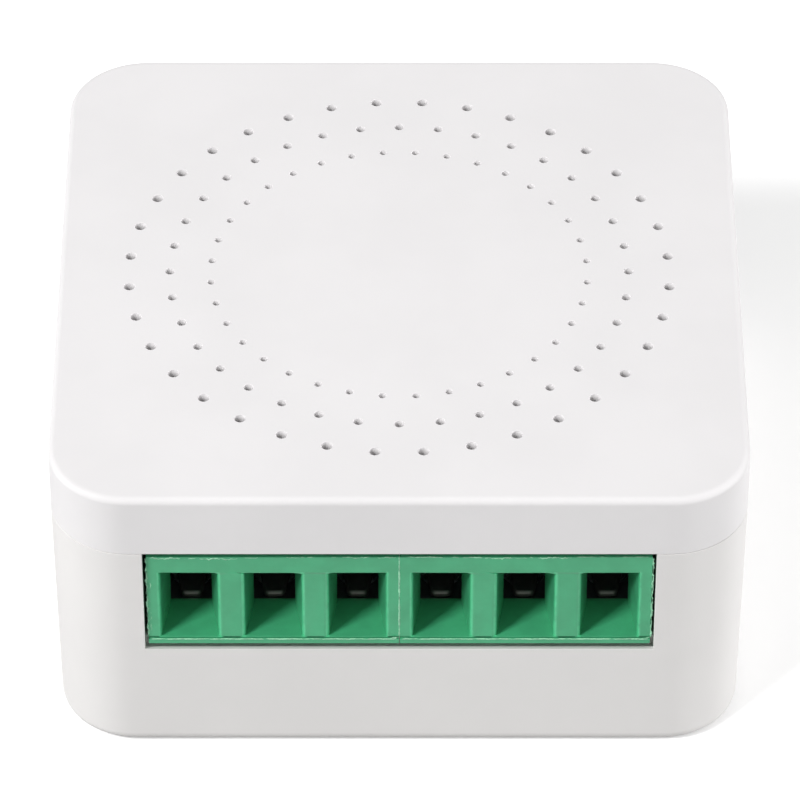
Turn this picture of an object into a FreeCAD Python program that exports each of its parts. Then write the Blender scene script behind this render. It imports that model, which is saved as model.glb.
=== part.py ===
import FreeCAD, Part
import math
import os

# A square dimmer module for a wall box, in millimetres. The origin is the centre of its
# underside, +Z is up and the wire terminals face -Y. A deep base shell and a shallow cover hold
# one circuit board. Two three-pole terminal blocks hang from the board's front edge and show
# their wire mouths through a cut-out in the base. Their screws are turned from below.

# Terminal poles, seen from the front
pole_pitch = 5.0
poles_per_block = 3
block_count = 2
block_seam = 0.05
mouth_width = 3.47
mouth_height = 5.21
mouth_depth = 3.3
throat_width = 2.49
throat_drop = 1.78
brow = 1.52
lip_height = 0.25
lip_depth = 0.1
lip_recess = 0.3
lip_groove = 0.12
mouth_sill = 0.2

# Clamp of one pole: screw, cage and contact bar
floor_thickness = 1.6
head_height = 1.6
head_room = 1.1
head_diameter = 3.9
slot_width = 0.8
slot_depth = 0.9
shank_diameter = 2.6
access_diameter = 3.4
clamp_travel = 2.5
cage_width = 3.96
cage_depth = 4.9
cage_side = 0.6
cage_thread_wall = 1.6
cage_roof = 0.8
cage_bevel = 0.5
groove_depth = 0.15
groove_pitch = 1.2
groove_count = 3
wire_room = 2.9
bar_thickness = 0.5
bar_width = 2.2
bar_tip_width = 1.2
bar_taper = 3.2
bar_tip_radius = 0.35
bar_sink = 0.33
sill_wall = 0.25
block_rear_wall = 0.9
pin_width = 1.0
pin_stand = 1.1

# Circuit board
board_thickness = 1.6
board_bevel = 1.5
board_drop = 0.38
board_edge_gap = 0.25
solder_foot_width = 2.2
solder_neck_width = 1.3
solder_height = 0.8

# Housing
housing_shoulder = 5.75
corner_radius = 4.75
wall = 1.6
roof_thickness = 1.6
cover_height = 4.32
parting_gap = 0.06
tongue_height = 1.2
tongue_inset = 0.85
foot_bevel = 0.6
top_edge_bevel = 0.3
cutout_margin = 0.2
cutout_sill_gap = 0.22
ledge_width = 1.2
ledge_depth = 1.75
ledge_inset = 6.0
hook_width = 5.0
hook_thickness = 0.9
hook_reach = 7.0
hook_barb = 0.5
hook_barb_height = 1.0
hook_front_y = -4.5
hook_back_y = 9.0
catch_depth = 0.6
post_width = 2.2
post_inset = 3.3
post_back_inset = 2.9

# Rings of blind holes in the cover
holes_per_ring = 36
hole_sides = 6
hole_depth = 0.8
outer_ring_radius = 16.5
middle_ring_radius = 14.0
inner_ring_radius = 11.5
outer_hole_diameter = 0.68
middle_hole_diameter = 0.58
inner_hole_diameter = 0.46

# Pairing button, its switch and the light pipe
button_diameter = 5.0
button_recess = 0.3
button_flange_width = 5.8
button_flange_height = 0.8
button_travel = 0.35
stem_diameter = 3.2
switch_width = 6.0
switch_height = 3.5
switch_room = 0.35
plunger_width = 3.0
plunger_stand = 0.8
plunger_inside = 0.7
pipe_diameter = 2.4
pipe_foot_width = 3.6
pipe_foot_height = 0.8
pipe_recess = 0.1
led_width = 1.6
led_depth = 0.8
led_height = 0.6

# Parts on the board, hanging below it
film_width = 12.0
film_depth = 6.0
film_height = 10.5
choke_width = 7.5
choke_height = 9.0
choke_flange = 1.0
choke_post_width = 3.0
winding_diameter = 6.6
fuse_diameter = 3.2
fuse_height = 8.0
varistor_diameter = 7.0
varistor_thickness = 4.0
varistor_foot_inset = 1.0
varistor_foot_height = 1.2
large_can_diameter = 7.5
large_can_height = 11.0
small_can_diameter = 5.0
small_can_height = 8.0
radio_width = 12.0
radio_depth = 9.0
radio_thickness = 0.8
shield_width = 7.6
shield_depth = 7.4
shield_height = 1.8
shield_wall = 0.2
radio_chip_width = 5.0
radio_chip_height = 0.9
antenna_width = 1.6
antenna_depth = 5.0
antenna_height = 1.1
transistor_width = 6.6
transistor_depth = 6.1
transistor_height = 2.3
transistor_lead_width = 0.9
transistor_lead_pitch = 4.6
bridge_width = 4.8
bridge_depth = 4.0
bridge_height = 2.4
bridge_lead_width = 0.6
bridge_lead_pitch = 2.5
supply_width = 3.9
supply_depth = 4.9
supply_height = 1.5
supply_lead_width = 0.4
supply_lead_pitch = 1.27
lead_reach = 0.7
lead_height = 0.4
chip_taper = 0.15
spreader_thickness = 1.0
spreader_margin = 0.4
spreader_wing = 4.0

# Small parts on the board's upper face
resistor_length = 2.0
resistor_width = 1.25
resistor_height = 0.55
resistor_count = 6
ceramic_length = 1.6
ceramic_width = 0.8
ceramic_height = 0.8
ceramic_count = 5
small_part_pitch = 4.0
resistor_row_y = 2.0
ceramic_row_y = -3.0
driver_width = 2.9
driver_depth = 1.3
driver_height = 1.0
driver_row_y = 8.0
driver_spacing = 12.0

# Clearances, and how far a cutting tool runs past a face
fit = 0.05
slide_gap = 0.1
seat_gap = 0.03
part_gap = 0.2
overshoot = 1.0

# Levels, from the table up
block_z0 = floor_thickness
head_z0 = floor_thickness
head_z1 = head_z0 + head_height
chamber_z0 = head_z1 + head_room
cage_z0 = chamber_z0 + fit + clamp_travel
cage_inner_z0 = cage_z0 + cage_thread_wall
bar_z0 = cage_inner_z0 + fit
bar_z1 = bar_z0 + bar_thickness
cage_inner_z1 = bar_z1 + wire_room
cage_z1 = cage_inner_z1 + cage_roof
mouth_z0 = bar_z1 - bar_sink
mouth_z1 = mouth_z0 + mouth_height
lip_z1 = mouth_z0 - mouth_sill
nose_z0 = lip_z1 - lip_height
cutout_z0 = nose_z0 - cutout_sill_gap
block_z1 = mouth_z1 + brow
board_z0 = block_z1
board_z1 = board_z0 + board_thickness
parting_z = board_z0 + board_drop
base_z1 = parting_z - parting_gap / 2
cover_z0 = parting_z + parting_gap / 2
tongue_z1 = parting_z + tongue_height
body_height = parting_z + cover_height
roof_z0 = body_height - roof_thickness

# Plan sizes
block_width = poles_per_block * pole_pitch
block_row_width = block_count * block_width
body_size = block_row_width + 2 * housing_shoulder
half = body_size / 2
inner_half = half - wall
board_half = inner_half - board_edge_gap
cutout_half = block_row_width / 2 + cutout_margin

# Distances from front to back
front_y = -half
lip_y = front_y + lip_recess
nose_y = lip_y + lip_depth
throat_y = nose_y + mouth_depth
chamber_y0 = throat_y + sill_wall
cage_y0 = chamber_y0 + fit
cage_y1 = cage_y0 + cage_depth
chamber_y1 = cage_y1 + fit
leg_y1 = chamber_y1 + bar_thickness
block_rear_y = leg_y1 + block_rear_wall
block_lower_y = -inner_half + slide_gap
screw_y = (cage_y0 + cage_y1) / 2
pin_y = (chamber_y1 + leg_y1) / 2

# Room for the parts behind the terminal blocks
parts_limit = inner_half - ledge_depth - part_gap


def point(x, y, z):
    """A point in the module's frame."""
    return FreeCAD.Vector(x, y, z)


def around(centre, size):
    """The low and high ends of a length centred on a value."""
    return centre - size / 2, centre + size / 2


def cuboid(x, y, z):
    """A box between the low and high ends given for each axis."""
    corner = point(x[0], y[0], z[0])
    return Part.makeBox(x[1] - x[0], y[1] - y[0], z[1] - z[0], corner)


def rod(x, y, z, diameter):
    """An upright cylinder between two levels."""
    return Part.makeCylinder(diameter / 2, z[1] - z[0], point(x, y, z[0]))


def stepped_rod(x, y, steps):
    """Upright cylinders one on another, from the diameter and the two levels of each."""
    first, *others = [rod(x, y, z, diameter) for diameter, z in steps]
    return one_solid(first.fuse(others))


def polygon(points):
    """A closed face through the points."""
    return Part.Face(Part.makePolygon(list(points) + [points[0]]))


def prism(x, y, z, diameter, sides):
    """An upright prism between two levels, with its corners on a circle."""
    radius = diameter / 2
    turns = [2 * math.pi * index / sides for index in range(sides)]
    corners = [point(x + radius * math.cos(a), y + radius * math.sin(a), z[0]) for a in turns]
    return polygon(corners).extrude(point(0, 0, z[1] - z[0]))


def rounded_outline(size, radius, z):
    """A square outline with round corners, lying flat at a level."""
    middle = size / 2 - radius
    corners = [(middle, -middle), (middle, middle), (-middle, middle), (-middle, -middle)]
    arcs = []
    for index, (x, y) in enumerate(corners):
        start = math.radians(90 * index - 90)
        turns = [start, start + math.pi / 4, start + math.pi / 2]
        ends = [point(x + radius * math.cos(a), y + radius * math.sin(a), z) for a in turns]
        arcs.append(Part.Arc(*ends).toShape())
    edges = []
    for index, arc in enumerate(arcs):
        following = arcs[(index + 1) % len(arcs)]
        edges.append(arc)
        side = Part.LineSegment(arc.lastVertex().Point, following.firstVertex().Point)
        edges.append(side.toShape())
    return Part.Wire(edges)


def plate(size, radius, z):
    """A square plate with round corners between two levels."""
    return Part.Face(rounded_outline(size, radius, z[0])).extrude(point(0, 0, z[1] - z[0]))


def round_edges(solid, radius, chosen):
    """The solid with the chosen edges rounded."""
    return solid.makeFillet(radius, [edge for edge in solid.Edges if chosen(edge)])


def bevel_edges(solid, size, chosen):
    """The solid with the chosen edges bevelled."""
    return solid.makeChamfer(size, [edge for edge in solid.Edges if chosen(edge)])


def frustum(near, far):
    """A solid with flat sides between two outlines that have the same number of corners."""
    count = len(near)
    sides = []
    for index in range(count):
        following = (index + 1) % count
        sides.append(polygon([near[index], near[following], far[following], far[index]]))
    return Part.makeSolid(Part.makeShell(sides + [polygon(near), polygon(far)]))


def lies_at(edge, z):
    """Whether an edge lies flat at a level."""
    return abs(edge.BoundBox.ZMin - z) < 1e-4 and abs(edge.BoundBox.ZMax - z) < 1e-4


def stands_at(edge, y):
    """Whether an edge is upright at a distance from front to back."""
    box = edge.BoundBox
    return box.ZLength > 1e-3 and box.YLength < 1e-4 and abs(box.YMin - y) < 1e-4


def one_solid(shape):
    """The single clean solid of a shape that was joined or cut."""
    return shape.removeSplitter().Solids[0]


def spread(sizes, low, high):
    """Centres of parts laid side by side between two limits with equal gaps."""
    gap = (high - low - sum(sizes)) / (len(sizes) + 1)
    centres = []
    edge = low
    for size in sizes:
        centres.append(edge + gap + size / 2)
        edge += gap + size
    return centres


def pole_xs():
    """The six pole centres from left to right."""
    count = block_count * poles_per_block
    return [(index - (count - 1) / 2) * pole_pitch for index in range(count)]


def block_xs():
    """The centres of the two terminal blocks."""
    return [(index - (block_count - 1) / 2) * block_width for index in range(block_count)]


# Rows of parts behind the terminal blocks, each spread over the room that there is
front_row_depth = max(film_depth, choke_width, fuse_diameter, varistor_diameter)
middle_row_depth = max(large_can_diameter, small_can_diameter, radio_depth)
back_row_depth = max(transistor_depth, bridge_depth, supply_depth, switch_width)
row_depths = [front_row_depth, middle_row_depth, back_row_depth]
front_row_y, middle_row_y, back_row_y = spread(row_depths, block_rear_y, parts_limit)
front_row = [film_width, choke_width, fuse_diameter, varistor_thickness]
film_x, choke_x, fuse_x, varistor_x = spread(front_row, -parts_limit, parts_limit)
middle_row = [large_can_diameter, small_can_diameter, radio_width, pipe_foot_width]
large_can_x, small_can_x, radio_x, pipe_x = spread(middle_row, -parts_limit, parts_limit)
lead_span = 2 * lead_reach
bridge_span = bridge_width + lead_span
supply_span = supply_width + lead_span
back_row = [transistor_width, transistor_width, bridge_span, supply_span, switch_width]
back_row_xs = spread(back_row, -parts_limit, parts_limit)
first_transistor_x, second_transistor_x, bridge_x, supply_x, switch_x = back_row_xs
switch_z0 = board_z0 - switch_height
stem_z1 = switch_z0 - plunger_stand


def hook_places():
    """Side and distance from front to back of each snap hook on the cover."""
    return [(side, y) for side in (-1, 1) for y in (hook_front_y, hook_back_y)]


def side_span(side, near, far):
    """The span from near to far of the middle, on the left or on the right side."""
    return (near, far) if side > 0 else (-far, -near)


def base_shell():
    """Deep lower shell: cut-out for the blocks, tongue, ledges and catches."""
    shell = plate(body_size, corner_radius, (0, base_z1))
    shell = bevel_edges(shell, foot_bevel, lambda edge: lies_at(edge, 0))
    inner_size = 2 * inner_half
    inner_corner = corner_radius - wall
    tongue_size = body_size - 2 * tongue_inset
    tongue = plate(tongue_size, corner_radius - tongue_inset, (floor_thickness, tongue_z1))
    shell = shell.fuse(tongue)
    over_tongue = tongue_z1 + overshoot
    shell = shell.cut(plate(inner_size, inner_corner, (floor_thickness, over_tongue)))
    cutout = cuboid((-cutout_half, cutout_half), (front_y - overshoot, -inner_half + overshoot),
                    (cutout_z0, over_tongue))
    openings = [cutout]
    floor = (-overshoot, floor_thickness + overshoot)
    openings += [rod(x, screw_y, floor, access_diameter) for x in pole_xs()]
    openings.append(rod(switch_x, back_row_y, floor, button_diameter + 2 * slide_gap))
    openings.append(rod(pipe_x, middle_row_y, floor, pipe_diameter + 2 * fit))
    openings += [catch_recess(side, y) for side, y in hook_places()]
    return one_solid(shell.cut(openings).fuse(board_ledges()))


def catch_recess(side, y):
    """Recess inside the side wall that takes the barb of one snap hook."""
    barb_z1 = roof_z0 - hook_reach + hook_barb_height + part_gap
    z = (barb_z1 - hook_barb_height - 2 * part_gap, barb_z1 + fit)
    x = side_span(side, inner_half - overshoot, inner_half + catch_depth)
    return cuboid(x, around(y, hook_width + 2 * part_gap), z)


def board_ledges():
    """Upright ribs on the side and back walls that carry the board's edge."""
    reach = inner_half - ledge_depth
    z = (floor_thickness - fit, board_z0)
    ledges = []
    for side in (-1, 1):
        x = side_span(side, reach, inner_half + fit)
        for y in (0, inner_half - ledge_inset):
            ledges.append(cuboid(x, around(y, ledge_width), z))
        back_x = around(side * (inner_half - ledge_inset), ledge_width)
        ledges.append(cuboid(back_x, (reach, inner_half + fit), z))
    return ledges


def top_cover():
    """Shallow cover with three rings of blind holes, snap hooks and four hold-down posts."""
    cover = plate(body_size, corner_radius, (cover_z0, body_height))
    cover = bevel_edges(cover, top_edge_bevel, lambda edge: lies_at(edge, body_height))
    below = cover_z0 - overshoot
    hollow = plate(2 * inner_half, corner_radius - wall, (below, roof_z0))
    skirt_inset = tongue_inset - fit
    rebate = plate(body_size - 2 * skirt_inset, corner_radius - skirt_inset, (below, tongue_z1))
    cover = cover.cut([hollow, rebate])
    hooks = [snap_hook(side, y) for side, y in hook_places()]
    cover = cover.fuse(hooks + hold_down_posts())
    return one_solid(one_solid(cover).cut(ring_holes()))


def ring_holes():
    """Blind holes of few sides on three rings; the outer and inner rings are turned half a step."""
    step = 2 * math.pi / holes_per_ring
    rings = [(outer_ring_radius, outer_hole_diameter, step / 2),
             (middle_ring_radius, middle_hole_diameter, 0),
             (inner_ring_radius, inner_hole_diameter, step / 2)]
    z = (body_height - hole_depth, body_height + overshoot)
    holes = []
    for radius, diameter, offset in rings:
        for index in range(holes_per_ring):
            angle = offset + index * step
            x, y = radius * math.cos(angle), radius * math.sin(angle)
            holes.append(prism(x, y, z, diameter, hole_sides))
    return holes


def snap_hook(side, y):
    """One arm that hangs from the cover inside the wall, with a barb at its end."""
    outside = inner_half - slide_gap
    z0 = roof_z0 - hook_reach
    barb_z1 = z0 + part_gap + hook_barb_height
    arm = cuboid(side_span(side, outside - hook_thickness, outside), around(y, hook_width),
                 (z0, roof_z0 + fit))
    low_y, high_y = around(y, hook_width)
    profile = [(outside - fit, barb_z1), (outside + hook_barb, barb_z1),
               (outside, barb_z1 - hook_barb_height), (outside - fit, barb_z1 - hook_barb_height)]
    barb = polygon([point(side * x, low_y, z) for x, z in profile])
    return arm.fuse(barb.extrude(point(0, high_y - low_y, 0)))


def hold_down_posts():
    """Four posts under the roof that press the board onto its ledges and blocks."""
    z = (board_z1, roof_z0 + fit)
    side_x = board_half - post_inset
    front = -board_half + post_inset
    back = board_half - post_back_inset
    return [cuboid(around(side * side_x, post_width), around(y, post_width), z)
            for side in (-1, 1) for y in (front, back)]


def circuit_board():
    """Board with bevelled corners, notches for the snap hooks and six pin slots."""
    span = (-board_half, board_half)
    board = cuboid(span, span, (board_z0, board_z1))
    board = bevel_edges(board, board_bevel, lambda edge: edge.BoundBox.ZLength > board_thickness / 2)
    through = (board_z0 - overshoot, board_z1 + overshoot)
    notch_x = inner_half - slide_gap - hook_thickness - part_gap
    cuts = [cuboid(around(x, pin_width + 2 * slide_gap),
                   around(pin_y, bar_thickness + 2 * slide_gap), through) for x in pole_xs()]
    for side, y in hook_places():
        notch_y = around(y, hook_width + 2 * part_gap)
        cuts.append(cuboid(side_span(side, notch_x, board_half + overshoot), notch_y, through))
    return one_solid(board.cut(cuts))


def terminal_block(centre_x):
    """Moulded three-pole block: a nose with funnel mouths in front of its clamp chambers."""
    x = around(centre_x, block_width - block_seam)
    lower = cuboid(x, (block_lower_y, block_rear_y), (block_z0, block_z1))
    nose = cuboid(x, (nose_y, block_lower_y), (nose_z0, block_z1))
    lip = cuboid(x, (lip_y, nose_y), (nose_z0, lip_z1))
    moulding = one_solid(lower.fuse([nose, lip]))
    cuts = [cuboid(around(centre_x, block_width + overshoot),
                   (lip_y - overshoot, nose_y + lip_groove), (lip_z1, lip_z1 + lip_groove))]
    for index in range(poles_per_block):
        pole_x = centre_x + (index - (poles_per_block - 1) / 2) * pole_pitch
        cuts += pole_cuts(pole_x)
    return one_solid(moulding.cut(cuts))


def pole_cuts(x):
    """What one pole takes out of its block: mouth, throat, chamber, leg slot and screw bore."""
    above = block_z1 + overshoot
    chamber = cuboid(around(x, cage_width + 2 * fit), (chamber_y0, chamber_y1),
                     (chamber_z0, above))
    leg_slot = cuboid(around(x, bar_width + 2 * fit), (chamber_y1 - fit, leg_y1),
                      (bar_z0, above))
    throat = cuboid(around(x, throat_width), (throat_y - fit, chamber_y0 + fit),
                    (mouth_z0, mouth_z1 - throat_drop))
    bore = rod(x, screw_y, (block_z0 - overshoot, chamber_z0 + fit), head_diameter + 2 * fit)
    return [funnel(x), throat, chamber, leg_slot, bore]


def funnel(x):
    """Wire mouth that narrows to the throat over a level floor."""
    def frame(width, y, top):
        low, high = around(x, width)
        return [point(low, y, mouth_z0), point(high, y, mouth_z0), point(high, y, top),
                point(low, y, top)]
    slope = (mouth_width - throat_width) / mouth_depth
    drop = throat_drop / mouth_depth
    opening = frame(mouth_width + slope * overshoot, nose_y - overshoot,
                    mouth_z1 + drop * overshoot)
    end = frame(throat_width, throat_y, mouth_z1 - throat_drop)
    return frustum(opening, end)


def terminal_screw(x):
    """Screw with its slotted head on the base's floor and its tip under the contact bar."""
    screw = stepped_rod(x, screw_y, [(head_diameter, (head_z0, head_z1)),
                                     (shank_diameter, (head_z1, bar_z0 - seat_gap))])
    slot = cuboid(around(x, head_diameter + overshoot), around(screw_y, slot_width),
                  (head_z0 - overshoot, head_z0 + slot_depth))
    return one_solid(screw.cut(slot))


def clamp_cage(x):
    """Bent strip cage around the bar: threaded wall below, grooved clamping wall above."""
    cage = cuboid(around(x, cage_width), (cage_y0, cage_y1), (cage_z0, cage_z1))
    cage = bevel_edges(cage, cage_bevel, lambda edge: edge.BoundBox.YLength > cage_depth / 2)
    low, high = around(x, cage_width - 2 * cage_side)
    window_y = (cage_y0 - overshoot, cage_y1 + overshoot)
    cuts = [cuboid((low, high), window_y, (cage_inner_z0, cage_inner_z1)),
            rod(x, screw_y, (cage_z0 - overshoot, cage_inner_z0 + fit), shank_diameter + 2 * fit)]
    for index in range(groove_count):
        y = screw_y + (index - (groove_count - 1) / 2) * groove_pitch
        tooth = [(y - groove_depth, cage_inner_z1 - fit), (y + groove_depth, cage_inner_z1 - fit),
                 (y + groove_depth, cage_inner_z1), (y, cage_inner_z1 + groove_depth),
                 (y - groove_depth, cage_inner_z1)]
        face = polygon([point(low, v, z) for v, z in tooth])
        cuts.append(face.extrude(point(high - low, 0, 0)))
    return one_solid(cage.cut(cuts))


def contact_bar(x):
    """Bent strip: a tapered tongue through the cage, an upright leg and a solder pin."""
    tip_y = chamber_y0 + seat_gap
    wide, narrow = bar_width / 2, bar_tip_width / 2
    plan = [(x - narrow, tip_y), (x + narrow, tip_y), (x + wide, tip_y + bar_taper),
            (x + wide, leg_y1), (x - wide, leg_y1), (x - wide, tip_y + bar_taper)]
    tongue = polygon([point(u, v, bar_z0) for u, v in plan])
    tongue = tongue.extrude(point(0, 0, bar_thickness))
    tongue = round_edges(tongue, bar_tip_radius, lambda edge: stands_at(edge, tip_y))
    leg = cuboid(around(x, bar_width), (chamber_y1, leg_y1), (bar_z0, board_z0))
    pin = cuboid(around(x, pin_width), (chamber_y1, leg_y1), (board_z0 - fit, board_z1 + pin_stand))
    return one_solid(tongue.fuse([leg, pin]))


def solder_joints():
    """Six solder joints around the pins, on square pads on the board's upper face."""
    joints = []
    for x in pole_xs():
        joint = tapered_block(around(x, solder_foot_width), around(pin_y, solder_foot_width),
                              (board_z1, board_z1 + solder_height),
                              (solder_neck_width - solder_foot_width) / 2)
        pin = cuboid(around(x, pin_width), (chamber_y1, leg_y1), (board_z0, board_z1 + pin_stand))
        joints.append(one_solid(joint.cut(pin)))
    return Part.makeCompound(joints)


def pairing_button():
    """Recessed round button in the floor with a square flange inside and a long stem."""
    button = stepped_rod(switch_x, back_row_y, [
        (button_diameter, (button_recess, floor_thickness)),
        (stem_diameter, (floor_thickness, stem_z1))])
    flange = cuboid(around(switch_x, button_flange_width), around(back_row_y, button_flange_width),
                    (floor_thickness, floor_thickness + button_flange_height))
    return one_solid(button.fuse(flange))


def switch_plunger():
    """Plunger of the push switch, resting on the button's stem."""
    return cuboid(around(switch_x, plunger_width), around(back_row_y, plunger_width),
                  (stem_z1, switch_z0 + plunger_inside))


def tact_switch():
    """Square push switch under the board, with a bore for its plunger."""
    body = cuboid(around(switch_x, switch_width), around(back_row_y, switch_width),
                  (switch_z0, board_z0))
    bore_z1 = switch_z0 + plunger_inside + button_travel + switch_room
    bore_width = plunger_width + 2 * fit
    bore = cuboid(around(switch_x, bore_width), around(back_row_y, bore_width),
                  (switch_z0 - overshoot, bore_z1))
    return one_solid(body.cut(bore))


def light_pipe():
    """Clear rod from the floor to the lamp, standing on its square foot."""
    pipe = rod(pipe_x, middle_row_y, (pipe_recess, board_z0 - led_height - slide_gap), pipe_diameter)
    foot = cuboid(around(pipe_x, pipe_foot_width), around(middle_row_y, pipe_foot_width),
                  (floor_thickness, floor_thickness + pipe_foot_height))
    return one_solid(pipe.fuse(foot))


def status_led():
    """Small lamp under the board, over the light pipe."""
    return cuboid(around(pipe_x, led_width), around(middle_row_y, led_depth),
                  (board_z0 - led_height, board_z0))


def film_capacitor():
    """Boxed film capacitor."""
    return cuboid(around(film_x, film_width), around(front_row_y, film_depth),
                  (board_z0 - film_height, board_z0))


def choke_core():
    """Core with a square flange at each end of its square post."""
    z0, z1 = board_z0 - choke_height, board_z0
    steps = [(choke_width, (z0, z0 + choke_flange)), (choke_width, (z1 - choke_flange, z1))]
    post = choke_post((z0, z1))
    return one_solid(post.fuse([cuboid(around(choke_x, width), around(front_row_y, width), z)
                                for width, z in steps]))


def choke_post(z):
    """The square post that the winding sits on, between two levels."""
    return cuboid(around(choke_x, choke_post_width), around(front_row_y, choke_post_width), z)


def choke_winding():
    """Winding that fills the core between its flanges."""
    z = (board_z0 - choke_height + choke_flange, board_z0 - choke_flange)
    return one_solid(rod(choke_x, front_row_y, z, winding_diameter).cut(choke_post(z)))


def fuse_resistor():
    """Upright fusible resistor."""
    return rod(fuse_x, front_row_y, (board_z0 - fuse_height, board_z0), fuse_diameter)


def varistor():
    """Coated disc on edge, with its foot on the board."""
    radius = varistor_diameter / 2
    x0, x1 = around(varistor_x, varistor_thickness)
    centre = point(x0, front_row_y, board_z0 - radius - fit)
    disc = Part.makeCylinder(radius, varistor_thickness, centre, point(1, 0, 0))
    foot = cuboid((x0 + varistor_foot_inset, x1 - varistor_foot_inset),
                  around(front_row_y, varistor_diameter / 2),
                  (board_z0 - varistor_foot_height, board_z0))
    return one_solid(disc.fuse(foot))


def can(x, diameter, height):
    """Electrolytic capacitor."""
    return rod(x, middle_row_y, (board_z0 - height, board_z0), diameter)


def radio_board():
    """Small radio board soldered flat under the main board."""
    return cuboid(around(radio_x, radio_width), around(middle_row_y, radio_depth),
                  (board_z0 - radio_thickness, board_z0))


def shield_x():
    """Centre of the shield can, which leaves the board's right end to the antenna."""
    return radio_x - radio_width / 2 + shield_width / 2 + part_gap


def radio_shield():
    """Thin metal can over the radio chip, open towards the radio board."""
    z1 = board_z0 - radio_thickness
    z0 = z1 - shield_height
    outside = cuboid(around(shield_x(), shield_width), around(middle_row_y, shield_depth), (z0, z1))
    inside = cuboid(around(shield_x(), shield_width - 2 * shield_wall),
                    around(middle_row_y, shield_depth - 2 * shield_wall),
                    (z0 + shield_wall, z1 + overshoot))
    return one_solid(outside.cut(inside))


def radio_chip():
    """Flat chip under the shield."""
    z1 = board_z0 - radio_thickness
    return cuboid(around(shield_x(), radio_chip_width), around(middle_row_y, radio_chip_width),
                  (z1 - radio_chip_height, z1))


def antenna_chip():
    """Ceramic antenna on the free end of the radio board."""
    z1 = board_z0 - radio_thickness
    free_end = radio_x + radio_width / 2
    x = (free_end - part_gap - antenna_width, free_end - part_gap)
    return cuboid(x, around(middle_row_y, antenna_depth), (z1 - antenna_height, z1))


def tapered_block(x, y, z, taper):
    """A block that narrows downwards by its taper, or upwards by a negative one."""
    def frame(inset, level):
        return [point(x[0] + inset, y[0] + inset, level), point(x[1] - inset, y[0] + inset, level),
                point(x[1] - inset, y[1] - inset, level), point(x[0] + inset, y[1] - inset, level)]
    return frustum(frame(max(taper, 0), z[0]), frame(max(-taper, 0), z[1]))


def side_leads(x, y, width, pitch, count, z):
    """Flat leads on the left and right sides of a chip, in a row along Y."""
    leads = []
    for index in range(count):
        lead_y = around(y + (index - (count - 1) / 2) * pitch, width)
        leads.append(cuboid((x[0] - lead_reach, x[0] + 2 * chip_taper), lead_y, z))
        leads.append(cuboid((x[1] - 2 * chip_taper, x[1] + lead_reach), lead_y, z))
    return leads


def bridge_rectifier():
    """Four-lead rectifier under the board."""
    x = around(bridge_x, bridge_width)
    y = around(back_row_y, bridge_depth)
    body = tapered_block(x, y, (board_z0 - bridge_height, board_z0), chip_taper)
    leads = side_leads(x, back_row_y, bridge_lead_width, bridge_lead_pitch, 2,
                       (board_z0 - lead_height, board_z0))
    return one_solid(body.fuse(leads))


def supply_chip():
    """Eight-lead power supply chip under the board."""
    x = around(supply_x, supply_width)
    y = around(back_row_y, supply_depth)
    body = tapered_block(x, y, (board_z0 - supply_height, board_z0), chip_taper)
    leads = side_leads(x, back_row_y, supply_lead_width, supply_lead_pitch, 4,
                       (board_z0 - lead_height, board_z0))
    return one_solid(body.fuse(leads))


def power_transistor(x):
    """Flat power transistor under the board, with two leads towards the front."""
    y = (back_row_y - transistor_depth / 2 + lead_reach, back_row_y + transistor_depth / 2)
    body = tapered_block(around(x, transistor_width), y,
                        (board_z0 - transistor_height, board_z0), chip_taper)
    leads = []
    for side in (-1, 1):
        lead_x = around(x + side * transistor_lead_pitch / 2, transistor_lead_width)
        leads.append(cuboid(lead_x, (y[0] - lead_reach, y[0] + 2 * chip_taper),
                            (board_z0 - lead_height, board_z0)))
    return one_solid(body.fuse(leads))


def heat_spreader():
    """Bent metal plate under both transistors, with a wing turned down at the back."""
    x = (first_transistor_x - transistor_width / 2 + spreader_margin,
         second_transistor_x + transistor_width / 2 - spreader_margin)
    y0 = back_row_y - transistor_depth / 2 + lead_reach + spreader_margin
    y1 = back_row_y + transistor_depth / 2
    z1 = board_z0 - transistor_height
    plate_z = (z1 - spreader_thickness, z1)
    flat = cuboid(x, (y0, y1), plate_z)
    wing = cuboid(x, (y1 - spreader_thickness, y1), (z1 - spreader_wing, z1))
    bent = one_solid(flat.fuse(wing))
    outer_bend = lambda edge: lies_at(edge, z1) and abs(edge.BoundBox.YMin - y1) < 1e-4
    return round_edges(bent, spreader_thickness / 2, outer_bend)


def row_of_blocks(count, length, width, height, y):
    """Small box parts in a row along X on the board's upper face."""
    row = []
    for index in range(count):
        x = (index - (count - 1) / 2) * small_part_pitch
        row.append(cuboid(around(x, length), around(y, width), (board_z1, board_z1 + height)))
    return Part.makeCompound(row)


def chip_resistors():
    """Row of chip resistors on the upper face."""
    return row_of_blocks(resistor_count, resistor_length, resistor_width, resistor_height,
                         resistor_row_y)


def chip_capacitors():
    """Row of ceramic chip capacitors on the upper face."""
    return row_of_blocks(ceramic_count, ceramic_length, ceramic_width, ceramic_height,
                         ceramic_row_y)


def driver_chips():
    """Two small gate drivers on the upper face, one for each transistor."""
    chips = []
    for side in (-1, 1):
        chips.append(tapered_block(around(side * driver_spacing / 2, driver_width),
                                   around(driver_row_y, driver_depth),
                                   (board_z1, board_z1 + driver_height), -chip_taper))
    return Part.makeCompound(chips)


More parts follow.
